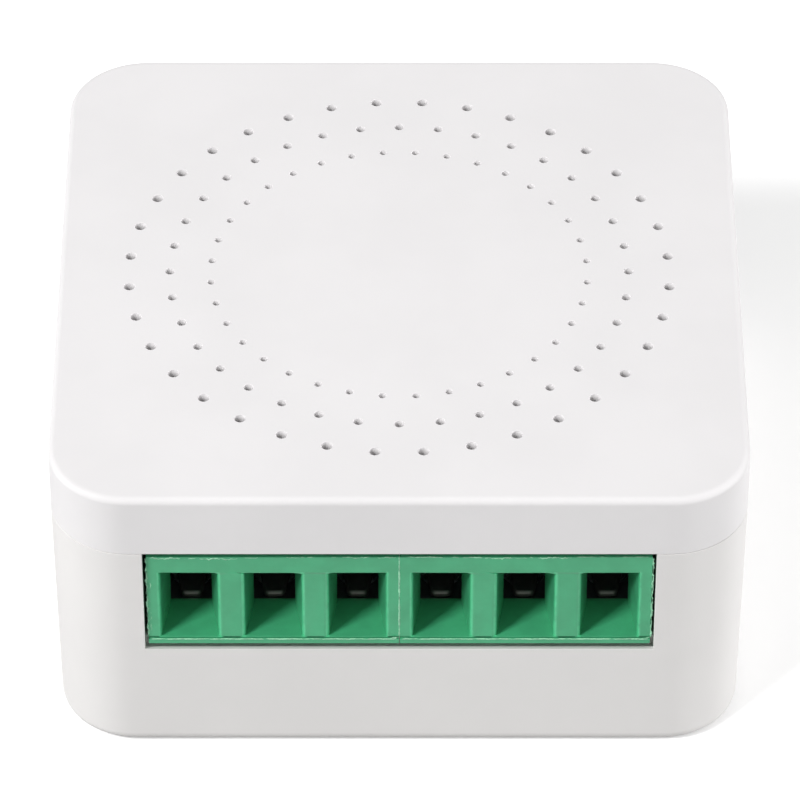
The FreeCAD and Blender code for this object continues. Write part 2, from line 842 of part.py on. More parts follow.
def all_parts():
    """Every sub-part by name."""
    parts = {
        "base_shell": base_shell(),
        "top_cover": top_cover(),
        "circuit_board": circuit_board(),
        "solder_joints": solder_joints(),
        "pairing_button": pairing_button(),
        "switch_plunger": switch_plunger(),
        "tact_switch": tact_switch(),
        "light_pipe": light_pipe(),
        "status_led": status_led(),
        "film_capacitor": film_capacitor(),
        "choke_core": choke_core(),
        "choke_winding": choke_winding(),
        "fuse_resistor": fuse_resistor(),
        "varistor": varistor(),
        "large_capacitor": can(large_can_x, large_can_diameter, large_can_height),
        "small_capacitor": can(small_can_x, small_can_diameter, small_can_height),
        "radio_board": radio_board(),
        "radio_shield": radio_shield(),
        "radio_chip": radio_chip(),
        "antenna_chip": antenna_chip(),
        "bridge_rectifier": bridge_rectifier(),
        "supply_chip": supply_chip(),
        "transistor_left": power_transistor(first_transistor_x),
        "transistor_right": power_transistor(second_transistor_x),
        "heat_spreader": heat_spreader(),
        "chip_resistors": chip_resistors(),
        "chip_capacitors": chip_capacitors(),
        "driver_chips": driver_chips(),
    }
    for side, x in zip(("left", "right"), block_xs()):
        parts["terminal_block_" + side] = terminal_block(x)
    for number, x in enumerate(pole_xs(), start=1):
        parts["terminal_screw_%d" % number] = terminal_screw(x)
        parts["clamp_cage_%d" % number] = clamp_cage(x)
        parts["contact_bar_%d" % number] = contact_bar(x)
    return parts


os.makedirs("parts", exist_ok=True)
for name, shape in all_parts().items():
    shape.exportStep("parts/%s.step" % name)
    print(name, len(shape.Solids), round(shape.Volume, 3), shape.isValid())
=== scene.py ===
"""The visual model of a square dimmer module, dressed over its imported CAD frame.

Sizes are in millimetres and in the frame's axes: +Z is up, the wire mouths face -Y and the origin
is the centre of the underside. A mesh is scaled to metres when it is made.
"""

import functools
import logging
import math
from dataclasses import dataclass, field
from enum import Enum
from typing import Callable, Iterable, Sequence, Union

import bmesh
import bpy
import numpy as np
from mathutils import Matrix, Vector
from mathutils.geometry import delaunay_2d_cdt


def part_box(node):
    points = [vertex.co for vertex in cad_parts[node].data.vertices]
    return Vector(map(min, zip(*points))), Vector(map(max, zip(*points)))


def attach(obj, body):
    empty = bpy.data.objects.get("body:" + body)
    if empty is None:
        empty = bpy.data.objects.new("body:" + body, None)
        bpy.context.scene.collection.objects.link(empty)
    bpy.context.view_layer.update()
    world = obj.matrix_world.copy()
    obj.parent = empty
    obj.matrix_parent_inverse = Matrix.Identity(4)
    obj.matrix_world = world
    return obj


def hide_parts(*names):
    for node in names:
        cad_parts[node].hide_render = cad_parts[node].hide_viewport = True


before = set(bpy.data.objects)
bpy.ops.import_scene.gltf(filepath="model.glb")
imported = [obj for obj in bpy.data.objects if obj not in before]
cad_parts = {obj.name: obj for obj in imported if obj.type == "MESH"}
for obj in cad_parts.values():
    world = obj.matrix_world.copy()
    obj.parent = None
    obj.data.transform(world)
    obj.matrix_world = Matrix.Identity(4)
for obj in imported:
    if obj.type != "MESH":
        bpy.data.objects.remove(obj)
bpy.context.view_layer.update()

MM = 0.001
LOG = logging.getLogger("dimmer_module")

# The level of the shell's sill, on which the terminal blocks stand.
SILL_LEVEL = 8.0
# Points nearer than this are one: in a CAD node, and in a surface that is computed here.
TOUCH = 1e-3
DRAFT_TOUCH = 1e-4
# Faces of a CAD node turned by less than this, in degrees, become one flat face.
FLAT_TURN = 1.0
# How strongly a large flat face keeps its own shading beside a rounding, up to 100.
FLAT_WEIGHT = 80
# An edge of a shell or of flash is drawn sharp from this angle, in degrees.
SHELL_SHARP = 35.0
FLASH_SHARP = 60.0
# The rounding of the ribs and hooks inside the housing.
INNER_EDGE = 0.1

Number = Union[float, int]
Colour = tuple[float, float, float]


# ---------------------------------------------------------------- shader maths

class Shade:
    """A value or colour in a material, with operators that add its Math nodes."""

    def __init__(self, tree: "NodeBench", socket: bpy.types.NodeSocket) -> None:
        """Wrap one output socket of a material's node tree."""
        self.tree = tree
        self.socket = socket

    def _math(self, operation: str, first: "Mixed", second: "Mixed") -> "Shade":
        """Add one Math node.

        Args:
            operation: the node's operation.
            first: the left operand.
            second: the right operand.

        Returns:
            The node's value.
        """
        return self.tree.add("ShaderNodeMath", {"operation": operation}, {0: first, 1: second})

    def __add__(self, other: "Mixed") -> "Shade":
        """Sum of two values."""
        return self._math("ADD", self, other)

    __radd__ = __add__

    def __sub__(self, other: "Mixed") -> "Shade":
        """Difference of two values."""
        return self._math("SUBTRACT", self, other)

    def __rsub__(self, other: "Mixed") -> "Shade":
        """Difference with this value on the right."""
        return self._math("SUBTRACT", other, self)

    def __mul__(self, other: "Mixed") -> "Shade":
        """Product of two values."""
        return self._math("MULTIPLY", self, other)

    __rmul__ = __mul__

    def ramp(self, low: Number, high: Number, start: Number = 0.0, end: Number = 1.0) -> "Shade":
        """This value carried smoothly from one span to another.

        Args:
            low: the input that gives start.
            high: the input that gives end.
            start: the output at low and under it.
            end: the output at high and over it.

        Returns:
            The carried value.
        """
        settings = {"interpolation_type": "SMOOTHSTEP"}
        inputs = {"Value": self, "From Min": low, "From Max": high, "To Min": start, "To Max": end}
        return self.tree.add("ShaderNodeMapRange", settings, inputs)


Mixed = Union[Shade, Number, Colour]


class NodeBench:
    """Builds one material's nodes around a Principled BSDF."""

    def __init__(self, name: str) -> None:
        """Start an empty material with its shader and output.

        Args:
            name: the material's name.
        """
        self.material = bpy.data.materials.new(name)
        self.material.use_nodes = True
        self.nodes = self.material.node_tree.nodes
        self.links = self.material.node_tree.links
        self.nodes.clear()
        self.shader = self.nodes.new("ShaderNodeBsdfPrincipled")
        output = self.nodes.new("ShaderNodeOutputMaterial")
        self.links.new(self.shader.outputs["BSDF"], output.inputs["Surface"])

    def fill(self, socket: bpy.types.NodeSocket, value: Mixed) -> None:
        """Link a shade to a socket, or set a constant on it.

        Args:
            socket: the input socket.
            value: a shade, number or colour.
        """
        if isinstance(value, Shade):
            self.links.new(value.socket, socket)
        elif isinstance(value, tuple) and socket.type == "RGBA":
            socket.default_value = (*value, 1.0)
        else:
            socket.default_value = value

    def add(self, kind: str, settings: dict[str, object], inputs: dict[Union[str, int], Mixed],
            output: Union[str, int] = 0) -> Shade:
        """Add one node.

        Args:
            kind: the node's type.
            settings: its properties, set first.
            inputs: values or links by socket name or number.
            output: the output socket to return.

        Returns:
            The chosen output.
        """
        node = self.nodes.new(kind)
        for key, value in settings.items():
            setattr(node, key, value)
        for key, value in inputs.items():
            self.fill(node.inputs[key], value)
        return Shade(self, node.outputs[output])

    def place(self) -> Shade:
        """Object coordinates, in metres."""
        return self.add("ShaderNodeTexCoord", {}, {}, "Object")

    def noise(self, size: float, detail: float = 2.0, roughness: float = 0.5,
              stretch: Colour = (1.0, 1.0, 1.0)) -> Shade:
        """Smooth noise from 0 to 1.

        Args:
            size: width of one blotch in millimetres.
            detail: octaves of finer noise.
            roughness: share that each finer octave keeps.
            stretch: how much longer a blotch is along X, Y and Z.

        Returns:
            The noise's factor.
        """
        scale = tuple(1.0 / factor for factor in stretch)
        where = self.add("ShaderNodeMapping", {}, {"Vector": self.place(), "Scale": Vector(scale)})
        inputs = {"Vector": where, "Scale": 1.0 / (size * MM), "Detail": detail,
                  "Roughness": roughness}
        return self.add("ShaderNodeTexNoise", {"noise_dimensions": "3D"}, inputs, "Fac")

    def cells(self, size: float) -> Shade:
        """Distance to the nearest random point, for fine moulded grain.

        Args:
            size: width of one cell in millimetres.

        Returns:
            The distance, in cell widths.
        """
        inputs = {"Vector": self.place(), "Scale": 1.0 / (size * MM), "Randomness": 1.0}
        return self.add("ShaderNodeTexVoronoi", {"feature": "SMOOTH_F1"}, inputs, "Distance")

    def blend(self, factor: Mixed, first: Mixed, second: Mixed) -> Shade:
        """Mix of two colours.

        Args:
            factor: 0 for the first, 1 for the second.
            first: one colour.
            second: the other colour.

        Returns:
            The mixed colour.
        """
        return self.add("ShaderNodeMix", {"data_type": "RGBA"},
                        {0: factor, 6: first, 7: second}, 2)

    def grey(self, level: Shade) -> Shade:
        """A grey of a level."""
        return self.blend(level, (0.0, 0.0, 0.0), (1.0, 1.0, 1.0))

    def bump(self, height: Shade, depth: float) -> Shade:
        """Surface normal of a height.

        Args:
            height: the height from 0 to 1.
            depth: the real depth of a height of 1, in millimetres.

        Returns:
            The bumped normal.
        """
        return self.add("ShaderNodeBump", {}, {"Strength": 1.0, "Distance": depth * MM,
                                               "Height": height})

    def finish(self, **sockets: Mixed) -> bpy.types.Material:
        """Fill the shader's sockets by name, with underscores for spaces.

        Args:
            sockets: the sockets and their values.

        Returns:
            The material.
        """
        for name, value in sockets.items():
            self.fill(self.shader.inputs[name.replace("_", " ")], value)
        return self.material


# -------------------------------------------------------------------- finishes

@dataclass(frozen=True)
class Finish:
    """What every finish has: a name, a colour and a gloss."""

    name: str
    colour: Colour
    roughness: float

    def shifted(self, factor: float) -> Colour:
        """The colour made lighter or darker by a factor."""
        red, green, blue = (min(channel * factor, 1.0) for channel in self.colour)
        return red, green, blue

    def two_toned(self, bench: NodeBench, share: Shade, first: float, second: float) -> Shade:
        """The colour shifted by the first factor where the share is 0, the second where 1."""
        return bench.blend(share, self.shifted(first), self.shifted(second))


@dataclass(frozen=True)
class MouldedPlastic(Finish):
    """Injection-moulded plastic: fine spark-eroded grain, faint flow clouds, soft gloss."""

    grain: float = 0.09
    grain_depth: float = 0.004
    cloud: float = 9.0
    variation: float = 0.015
    specular: float = 0.25
    coat: float = 0.0

    def material(self) -> bpy.types.Material:
        """Make the plastic's material.

        Returns:
            The material.
        """
        bench = NodeBench(self.name)
        clouds = bench.noise(self.cloud, 3.0, 0.55)
        pores = bench.cells(self.grain)
        fine = bench.noise(self.grain * 0.45, 2.0, 0.6)
        colour = self.two_toned(bench, clouds.ramp(0.3, 0.7), 1.0 - self.variation,
                                1.0 + self.variation)
        gloss = clouds * 0.06 + fine * 0.05 + (self.roughness - 0.055)
        grain = pores * 0.65 + fine * 0.35
        return bench.finish(Base_Color=self.toned(bench, colour), Roughness=gloss,
                            Normal=bench.bump(grain, self.grain_depth),
                            Specular_IOR_Level=self.specular, Coat_Weight=self.coat,
                            Coat_Roughness=0.18)

    def toned(self, bench: NodeBench, colour: Shade) -> Shade:
        """The colour with whatever painted light or shade this plastic has; plain plastic has none.
        """
        return colour


@dataclass(frozen=True)
class PitLightAndShadePlastic(MouldedPlastic):
    """White plastic with small blind holes, with painted light near their rims and painted shade
    towards their ends.
    """

    face_level: float = 20.1
    pit_depth: float = 0.5
    pit_reach: float = 17.4
    # Colour factors in the holes: painted light near the rims, painted shade towards their ends.
    pit_light_and_shade_tones: tuple[float, float] = (1.2, 0.72)

    def toned(self, bench: NodeBench, colour: Shade) -> Shade:
        """The colour with painted light just under the face and painted shade deeper down, within
        the reach of the holes.

        Args:
            bench: the material's node bench.
            colour: the plain colour.

        Returns:
            The toned colour.
        """
        level = bench.add("ShaderNodeSeparateXYZ", {}, {"Vector": bench.place()}, "Z")
        flat = bench.add("ShaderNodeVectorMath", {"operation": "MULTIPLY"},
                         {0: bench.place(), 1: Vector((1.0, 1.0, 0.0))})
        reach = bench.add("ShaderNodeVectorMath", {"operation": "LENGTH"}, {0: flat}, "Value")
        top, end = self.face_level, self.face_level - self.pit_depth
        pit_light_to_shade = level.ramp(end * MM, (top - 0.06) * MM, 1.0, 0.0)
        under = level.ramp((top - 0.05) * MM, (top - 0.01) * MM, 1.0, 0.0)
        near = reach.ramp(self.pit_reach * MM, (self.pit_reach + 0.2) * MM, 1.0, 0.0)
        # Painted light and shade: the holes' walls are lightened near the face and darkened deeper
        # down.
        return bench.blend(under * near, colour, self.two_toned(bench, pit_light_to_shade, *self.pit_light_and_shade_tones))


@dataclass(frozen=True)
class RimHighlightPlastic(MouldedPlastic):
    """Coloured plastic with a painted highlight along the thin rims of the wire mouths."""

    pitch: float = 5.0
    half_mouth: float = 1.77
    rim_width: float = 0.16
    mouth_levels: tuple[float, float] = (8.6, 13.93)
    face: float = -20.1
    # Colour factor of the painted rim highlight.
    rim_highlight_tone: float = 1.33

    def toned(self, bench: NodeBench, colour: Shade) -> Shade:
        """The colour with a painted highlight where a point lies near a mouth's edge on the front
        face.

        X goes back and forth between 0 and half the pitch, which it reaches in the middle of a
        cell. A side rim is where that is less than the rim's width from the mouth's side, and
        the upper rim is where Z is as near to the mouth's upper edge.

        Args:
            bench: the material's node bench.
            colour: the plain colour.

        Returns:
            The toned colour.
        """
        x, y, z = (bench.add("ShaderNodeSeparateXYZ", {}, {"Vector": bench.place()}, axis)
                   for axis in "XYZ")
        cell = bench.add("ShaderNodeMath", {"operation": "PINGPONG"},
                         {0: x * (1.0 / MM), 1: self.pitch / 2.0}, "Value")
        off = cell - (self.pitch / 2.0 - self.half_mouth)
        side = (off * off).ramp(0.0, self.rim_width ** 2, 1.0, 0.0)
        low, high = self.mouth_levels
        off_top = (z - high * MM) * (1.0 / MM)
        upper = (off_top * off_top).ramp(0.0, (self.rim_width * 0.6) ** 2, 1.0, 0.0)
        opening = off.ramp(-0.05, 0.0)
        between = (z.ramp(low * MM, (low + 0.1) * MM)
                   * z.ramp(high * MM, (high + 0.1) * MM, 1.0, 0.0))
        front = y.ramp(self.face * MM, (self.face + 0.3) * MM, 1.0, 0.0)
        # Noise breaks the painted rim highlight into patches.
        highlight_patches = bench.noise(0.9, 3.0, 0.6).ramp(0.3, 0.6, 0.35, 1.0)
        rim = (side * between + upper * opening * 0.5) * front * highlight_patches
        # Painted highlight: the colour is lightened by the highlight tone along the mouths' rims.
        return bench.blend(rim.ramp(0.0, 1.0), colour, self.shifted(self.rim_highlight_tone))


@dataclass(frozen=True)
class BurrPlastic(Finish):
    """The pale ragged flash along a mould's parting edge."""

    def material(self) -> bpy.types.Material:
        """Make the flash's material.

        Returns:
            The material.
        """
        bench = NodeBench(self.name)
        ragged = bench.noise(0.35, 3.0, 0.7)
        colour = self.two_toned(bench, ragged.ramp(0.35, 0.65), 0.72, 1.12)
        return bench.finish(Base_Color=colour, Roughness=ragged * 0.2 + self.roughness,
                            Normal=bench.bump(ragged, 0.02))


@dataclass(frozen=True)
class Metal(Finish):
    """Plated or drawn metal with fine lines along one axis and dull patches."""

    lines: Colour = (12.0, 1.0, 12.0)
    line_size: float = 0.05
    line_depth: float = 0.003
    dulling: float = 0.12

    def material(self) -> bpy.types.Material:
        """Make the metal's material.

        Returns:
            The material.
        """
        bench = NodeBench(self.name)
        lines = bench.noise(self.line_size, 2.0, 0.6, self.lines)
        patches = bench.noise(1.6, 4.0, 0.6)
        colour = self.two_toned(bench, patches.ramp(0.35, 0.7), 1.0, 0.82)
        gloss = patches * self.dulling + lines * 0.08 + (self.roughness - 0.04)
        return bench.finish(Base_Color=colour, Metallic=1.0, Roughness=gloss,
                            Normal=bench.bump(lines, self.line_depth))


@dataclass(frozen=True)
class ClearPlastic(Finish):
    """Clear light-guide plastic with faint scratches on its end."""

    def material(self) -> bpy.types.Material:
        """Make the clear plastic's material.

        Returns:
            The material.
        """
        bench = NodeBench(self.name)
        haze = bench.noise(0.5, 3.0, 0.6)
        return bench.finish(Base_Color=self.two_toned(bench, haze, 0.95, 1.0),
                            Roughness=haze * 0.08 + self.roughness, Transmission_Weight=0.85,
                            IOR=1.49, Normal=bench.bump(haze, 0.004))


@dataclass(frozen=True)
class CoatedPart(Finish):
    """Painted, sleeved or dipped electronic part with a slightly uneven skin."""

    blotch: float = 1.4
    depth: float = 0.02
    coat: float = 0.25

    def material(self) -> bpy.types.Material:
        """Make the coating's material.

        Returns:
            The material.
        """
        bench = NodeBench(self.name)
        skin = bench.noise(self.blotch, 3.0, 0.5)
        fine = bench.noise(0.12, 2.0, 0.6)
        colour = self.two_toned(bench, skin.ramp(0.3, 0.7), 0.88, 1.1)
        return bench.finish(Base_Color=colour, Roughness=fine * 0.08 + self.roughness,
                            Coat_Weight=self.coat, Coat_Roughness=0.2,
                            Normal=bench.bump(skin * 0.8 + fine * 0.2, self.depth))


@dataclass(frozen=True)
class BoardLaminate(Finish):
    """Circuit board under solder mask, with a faint glass weave and copper planes."""

    copper: Colour = (0.05, 0.24, 0.12)
    weave: float = 0.45

    def material(self) -> bpy.types.Material:
        """Make the board's material.

        Returns:
            The material.
        """
        bench = NodeBench(self.name)
        planes = bench.noise(3.2, 0.0)
        settings = {"wave_type": "BANDS", "bands_direction": "X"}
        weave = bench.add("ShaderNodeTexWave", settings, {
            "Vector": bench.place(), "Scale": 0.3 / (self.weave * MM), "Distortion": 0.4}, "Fac")
        traces = planes.ramp(0.46, 0.5)
        colour = bench.blend(traces, self.colour, self.copper)
        return bench.finish(Base_Color=colour, Roughness=weave * 0.06 + self.roughness,
                            Normal=bench.bump(traces * 0.8 + weave * 0.2, 0.02))


@dataclass(frozen=True)
class WoundWire(Finish):
    """Enamelled copper wire wound in layers round an upright post."""

    wire: float = 0.4

    def material(self) -> bpy.types.Material:
        """Make the winding's material.

        Returns:
            The material.
        """
        bench = NodeBench(self.name)
        settings = {"wave_type": "BANDS", "bands_direction": "Z", "wave_profile": "SIN"}
        turns = bench.add("ShaderNodeTexWave", settings, {
            "Vector": bench.place(), "Scale": 0.314 / (self.wire * MM), "Distortion": 0.15}, "Fac")
        # Darker between the turns: painted shade in the grooves between the wires.
        colour = self.two_toned(bench, turns.ramp(0.1, 0.6), 0.4, 1.0)
        return bench.finish(Base_Color=colour, Metallic=0.75, Roughness=self.roughness,
                            Normal=bench.bump(turns, 0.15))


class Look(Enum):
    """Every finish on the module, by the record's material slot it dresses."""

    BASE_PLASTIC = MouldedPlastic("base_shell_white", (0.8, 0.785, 0.775), 0.55)
    COVER_PLASTIC = PitLightAndShadePlastic("cover_white", (0.81, 0.795, 0.8), 0.55)
    BUTTON_PLASTIC = MouldedPlastic("button_white", (0.78, 0.775, 0.765), 0.42)
    TERMINAL_PLASTIC = RimHighlightPlastic("terminal_green", (0.06, 0.395, 0.192), 0.34,
                                     grain=0.16, grain_depth=0.006, cloud=1.6, variation=0.06,
                                     specular=0.5, coat=0.1)
    TERMINAL_FLASH = BurrPlastic("terminal_flash", (0.32, 0.68, 0.45), 0.4)
    CLEAR_PLASTIC = ClearPlastic("light_pipe_clear", (0.93, 0.95, 0.95), 0.06)
    SWITCH_PLASTIC = MouldedPlastic("switch_black", (0.03, 0.03, 0.032), 0.45)
    BOARD_LAMINATE = BoardLaminate("board_green", (0.025, 0.13, 0.065), 0.4)
    SOLDER = Metal("bright_solder", (0.72, 0.73, 0.74), 0.24, line_size=0.3)
    SCREW_STEEL = Metal("zinc_plated_steel", (0.66, 0.67, 0.68), 0.3)
    # The cage's and the contact bar's colours are far darker than plated metal: painted shade for
    # the dark inside of the blocks.
    CAGE_STEEL = Metal("zinc_plated_cage", (0.2, 0.21, 0.22), 0.42)
    TINNED_BRASS = Metal("tinned_brass", (0.13, 0.13, 0.12), 0.5, lines=(1.0, 10.0, 1.0))
    TINNED_STEEL = Metal("tinned_steel", (0.66, 0.66, 0.65), 0.28)
    SPREADER_METAL = Metal("bare_aluminium", (0.75, 0.76, 0.77), 0.35)
    FILM_BOX = CoatedPart("film_box_yellow", (0.72, 0.5, 0.07), 0.38)
    FERRITE = CoatedPart("ferrite_grey", (0.06, 0.06, 0.065), 0.55, coat=0.0)
    COPPER_WIRE = WoundWire("enamelled_copper", (0.62, 0.27, 0.12), 0.3)
    RESISTOR_ENAMEL = CoatedPart("resistor_green_grey", (0.28, 0.36, 0.33), 0.5)
    VARISTOR_COATING = CoatedPart("varistor_blue", (0.03, 0.16, 0.42), 0.35)
    CAN_SLEEVE = CoatedPart("can_sleeve_black", (0.035, 0.035, 0.045), 0.32)
    CHIP_EPOXY = CoatedPart("chip_epoxy", (0.03, 0.03, 0.032), 0.5, coat=0.0)
    CERAMIC = CoatedPart("ceramic_tan", (0.55, 0.45, 0.33), 0.5, coat=0.0)


@functools.cache
def material_of(look: Look) -> bpy.types.Material:
    """A look's material, made on first use."""
    return look.value.material()


# -------------------------------------------------------------------- geometry

def arc(centre: Sequence[float], radius: float, start: float, end: float, count: int) -> np.ndarray:
    """Points on an arc, both ends included.

    Args:
        centre: the arc's centre.
        radius: its radius.
        start: the first turn, in degrees.
        end: the last turn, in degrees.
        count: the number of points.

    Returns:
        The points, count by 2.
    """
    turn = np.radians(np.linspace(start, end, count))
    return np.asarray(centre) + radius * np.stack([np.cos(turn), np.sin(turn)], axis=1)


class Draft:
    """Collects the surfaces of one piece and turns them into a mesh object."""

    def __init__(self) -> None:
        """Start with no surfaces."""
        self.points: list[np.ndarray] = []
        self.faces: list[list[int]] = []
        self.count = 0

    def _store(self, points: np.ndarray) -> int:
        """Keep points.

        Args:
            points: any array whose last axis is X, Y and Z.

        Returns:
            The number of the first point.
        """
        first = self.count
        self.points.append(points.reshape(-1, 3))
        self.count += len(self.points[-1])
        return first

    def grid(self, surface: np.ndarray, ring: bool = False) -> None:
        """Add a surface whose points lie in rows.

        Args:
            surface: rows by columns by 3.
            ring: whether the last column joins the first.
        """
        rows, columns = surface.shape[:2]
        number = self._store(surface) + np.arange(rows * columns).reshape(rows, columns)
        if ring:
            number = np.concatenate([number, number[:, :1]], axis=1)
        quads = np.stack([number[:-1, :-1], number[:-1, 1:], number[1:, 1:], number[1:, :-1]], -1)
        self.faces += quads.reshape(-1, 4).tolist()

    def patch(self, outline: np.ndarray) -> None:
        """Add one flat face through its outline's points."""
        first = self._store(outline)
        self.faces.append(list(range(first, first + len(outline))))

    def pierced(self, outline: np.ndarray, holes: Sequence[np.ndarray], z: float) -> None:
        """Add a flat plane with holes in it.

        Args:
            outline: the plane's outline, X and Y of each point.
            holes: the outline of each hole.
            z: the plane's level.
        """
        loops = [outline, *holes]
        starts = np.cumsum([0] + [len(loop) for loop in loops])
        numbers = [np.arange(*span) for span in zip(starts[:-1], starts[1:])]
        edges = np.concatenate([np.stack([loop, np.roll(loop, -1)], 1) for loop in numbers])
        flat = [Vector(pair) for pair in np.concatenate(loops).tolist()]
        points, _, triangles, *_ = delaunay_2d_cdt(flat, edges.tolist(), [], 1, 1e-7)
        plane, triangles = np.array([tuple(point) for point in points]), np.array(triangles)
        middle = plane[triangles].mean(axis=1)
        centres = np.array([hole.mean(axis=0) for hole in holes])
        reach = np.array([np.linalg.norm(hole - hole.mean(axis=0), axis=1).max() for hole in holes])
        near = np.linalg.norm(middle[:, None, :] - centres[None], axis=2) < reach[None]
        first = self._store(np.column_stack([plane, np.full(len(plane), z)]))
        self.faces += (triangles[~near.any(axis=1)] + first).tolist()

    def object(self, name: str, sharp: float = 30.0) -> bpy.types.Object:
        """Make the piece.

        Args:
            name: the object's name.
            sharp: the angle in degrees from which an edge is drawn sharp.

        Returns:
            The mesh object, at the origin, with outward normals.
        """
        mesh = bpy.data.meshes.new(name)
        mesh.from_pydata((np.concatenate(self.points) * MM).tolist(), [], self.faces)
        return finished_object(name, mesh, sharp, DRAFT_TOUCH)


def finished_object(name: str, mesh: bpy.types.Mesh, sharp: float,
                    merge: float) -> bpy.types.Object:
    """Merge a mesh's doubles, turn its faces outwards, shade it and put it in the scene.

    Args:
        name: the object's name.
        mesh: the mesh.
        sharp: the angle in degrees from which an edge is drawn sharp.
        merge: points nearer than this, in millimetres, become one.

    Returns:
        The new object.
    """
    work = bmesh.new()
    work.from_mesh(mesh)
    bmesh.ops.remove_doubles(work, verts=work.verts, dist=merge * MM)
    bmesh.ops.recalc_face_normals(work, faces=work.faces)
    work.to_mesh(mesh)
    work.free()
    mesh.shade_smooth()
    mesh.set_sharp_from_angle(angle=math.radians(sharp))
    piece = bpy.data.objects.new(name, mesh)
    bpy.context.scene.collection.objects.link(piece)
    return piece


def points_mm(mesh: bpy.types.Mesh) -> np.ndarray:
    """A mesh's points, in millimetres.

    Args:
        mesh: the mesh.

    Returns:
        The points, count by 3.
    """
    flat = np.empty(len(mesh.vertices) * 3, np.float32)
    mesh.vertices.foreach_get("co", flat)
    return flat.reshape(-1, 3) / MM


def bevelled(piece: bpy.types.Object, width: float, segments: int = 2,
             angle: float = 30.0) -> bpy.types.Object:
    """Round a piece's sharp edges and keep its flat faces flat.

    Args:
        piece: the mesh object.
        width: the rounding's width in millimetres.
        segments: steps across the rounding.
        angle: the angle in degrees from which an edge is rounded.

    Returns:
        The same piece.
    """
    bevel = piece.modifiers.new("rounded_edges", "BEVEL")
    bevel.width = width * MM
    bevel.segments = segments
    bevel.limit_method = "ANGLE"
    bevel.angle_limit = math.radians(angle)
    bevel.miter_outer = "MITER_ARC"
    return weighted(piece)


def round_weighted(piece: bpy.types.Object, width: float, segments: int,
                   rule: Callable[[np.ndarray], np.ndarray]) -> bpy.types.Object:
    """Round some edges of a piece more than others.

    Args:
        piece: the mesh object.
        width: the rounding's full width in millimetres.
        segments: steps across the rounding.
        rule: gives each edge's share of the width from the edges' ends in millimetres.

    Returns:
        The same piece.
    """
    mesh = piece.data
    pairs = np.empty(len(mesh.edges) * 2, np.int32)
    mesh.edges.foreach_get("vertices", pairs)
    ends = points_mm(mesh)[pairs.reshape(-1, 2)]
    layer = mesh.attributes.new("bevel_weight_edge", "FLOAT", "EDGE")
    layer.data.foreach_set("value", rule(ends).astype(np.float32))
    bevel = piece.modifiers.new("chosen_edges", "BEVEL")
    bevel.limit_method = "WEIGHT"
    bevel.width = width * MM
    bevel.segments = segments
    return piece


def weighted(piece: bpy.types.Object) -> bpy.types.Object:
    """Keep a piece's large flat faces flat beside its roundings.

    Args:
        piece: the mesh object.

    Returns:
        The same piece.
    """
    flat = piece.modifiers.new("flat_faces", "WEIGHTED_NORMAL")
    flat.keep_sharp = True
    flat.weight = FLAT_WEIGHT
    return piece


def merged_solid(node: str) -> bmesh.types.BMesh:
    """A CAD node's loose triangles, joined where their points meet.

    Args:
        node: the CAD node.

    Returns:
        The joined mesh, which the caller frees.
    """
    work = bmesh.new()
    work.from_mesh(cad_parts[node].data)
    bmesh.ops.remove_doubles(work, verts=work.verts, dist=TOUCH * MM)
    return work


def solid_copy(node: str, name: str) -> bpy.types.Object:
    """A merged copy of a CAD node whose flat faces are few and have no inward corners.

    Args:
        node: the CAD node.
        name: the copy's name.

    Returns:
        The copy, in the node's place.
    """
    mesh = bpy.data.meshes.new(name)
    work = merged_solid(node)
    bmesh.ops.dissolve_limit(work, angle_limit=math.radians(FLAT_TURN), verts=work.verts,
                             edges=work.edges, delimit=set())
    bmesh.ops.connect_verts_concave(work, faces=work.faces)
    work.to_mesh(mesh)
    work.free()
    return finished_object(name, mesh, 30.0, TOUCH)


def dressed(piece: bpy.types.Object, look: Look, body: str,
            nodes: Iterable[str] = ()) -> bpy.types.Object:
    """Give a piece its finish and its place in the frame.

    Args:
        piece: the object.
        look: its finish.
        body: the body that it rides on.
        nodes: the CAD nodes that it stands for.

    Returns:
        The same piece.
    """
    piece.data.materials.clear()
    piece.data.materials.append(material_of(look))
    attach(piece, body)
    if nodes:
        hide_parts(*nodes)
    LOG.info("%s rides on %s, %d faces", piece.name, body, len(piece.data.polygons))
    return piece


def move_points(piece: bpy.types.Object, rule: Callable[[np.ndarray], np.ndarray]) -> None:
    """Move the points of a piece's mesh.

    Args:
        piece: the mesh object.
        rule: gives the new places from the old ones, both in millimetres.
    """
    moved = rule(points_mm(piece.data)) * MM
    piece.data.vertices.foreach_set("co", moved.astype(np.float32).ravel())
    piece.data.update()


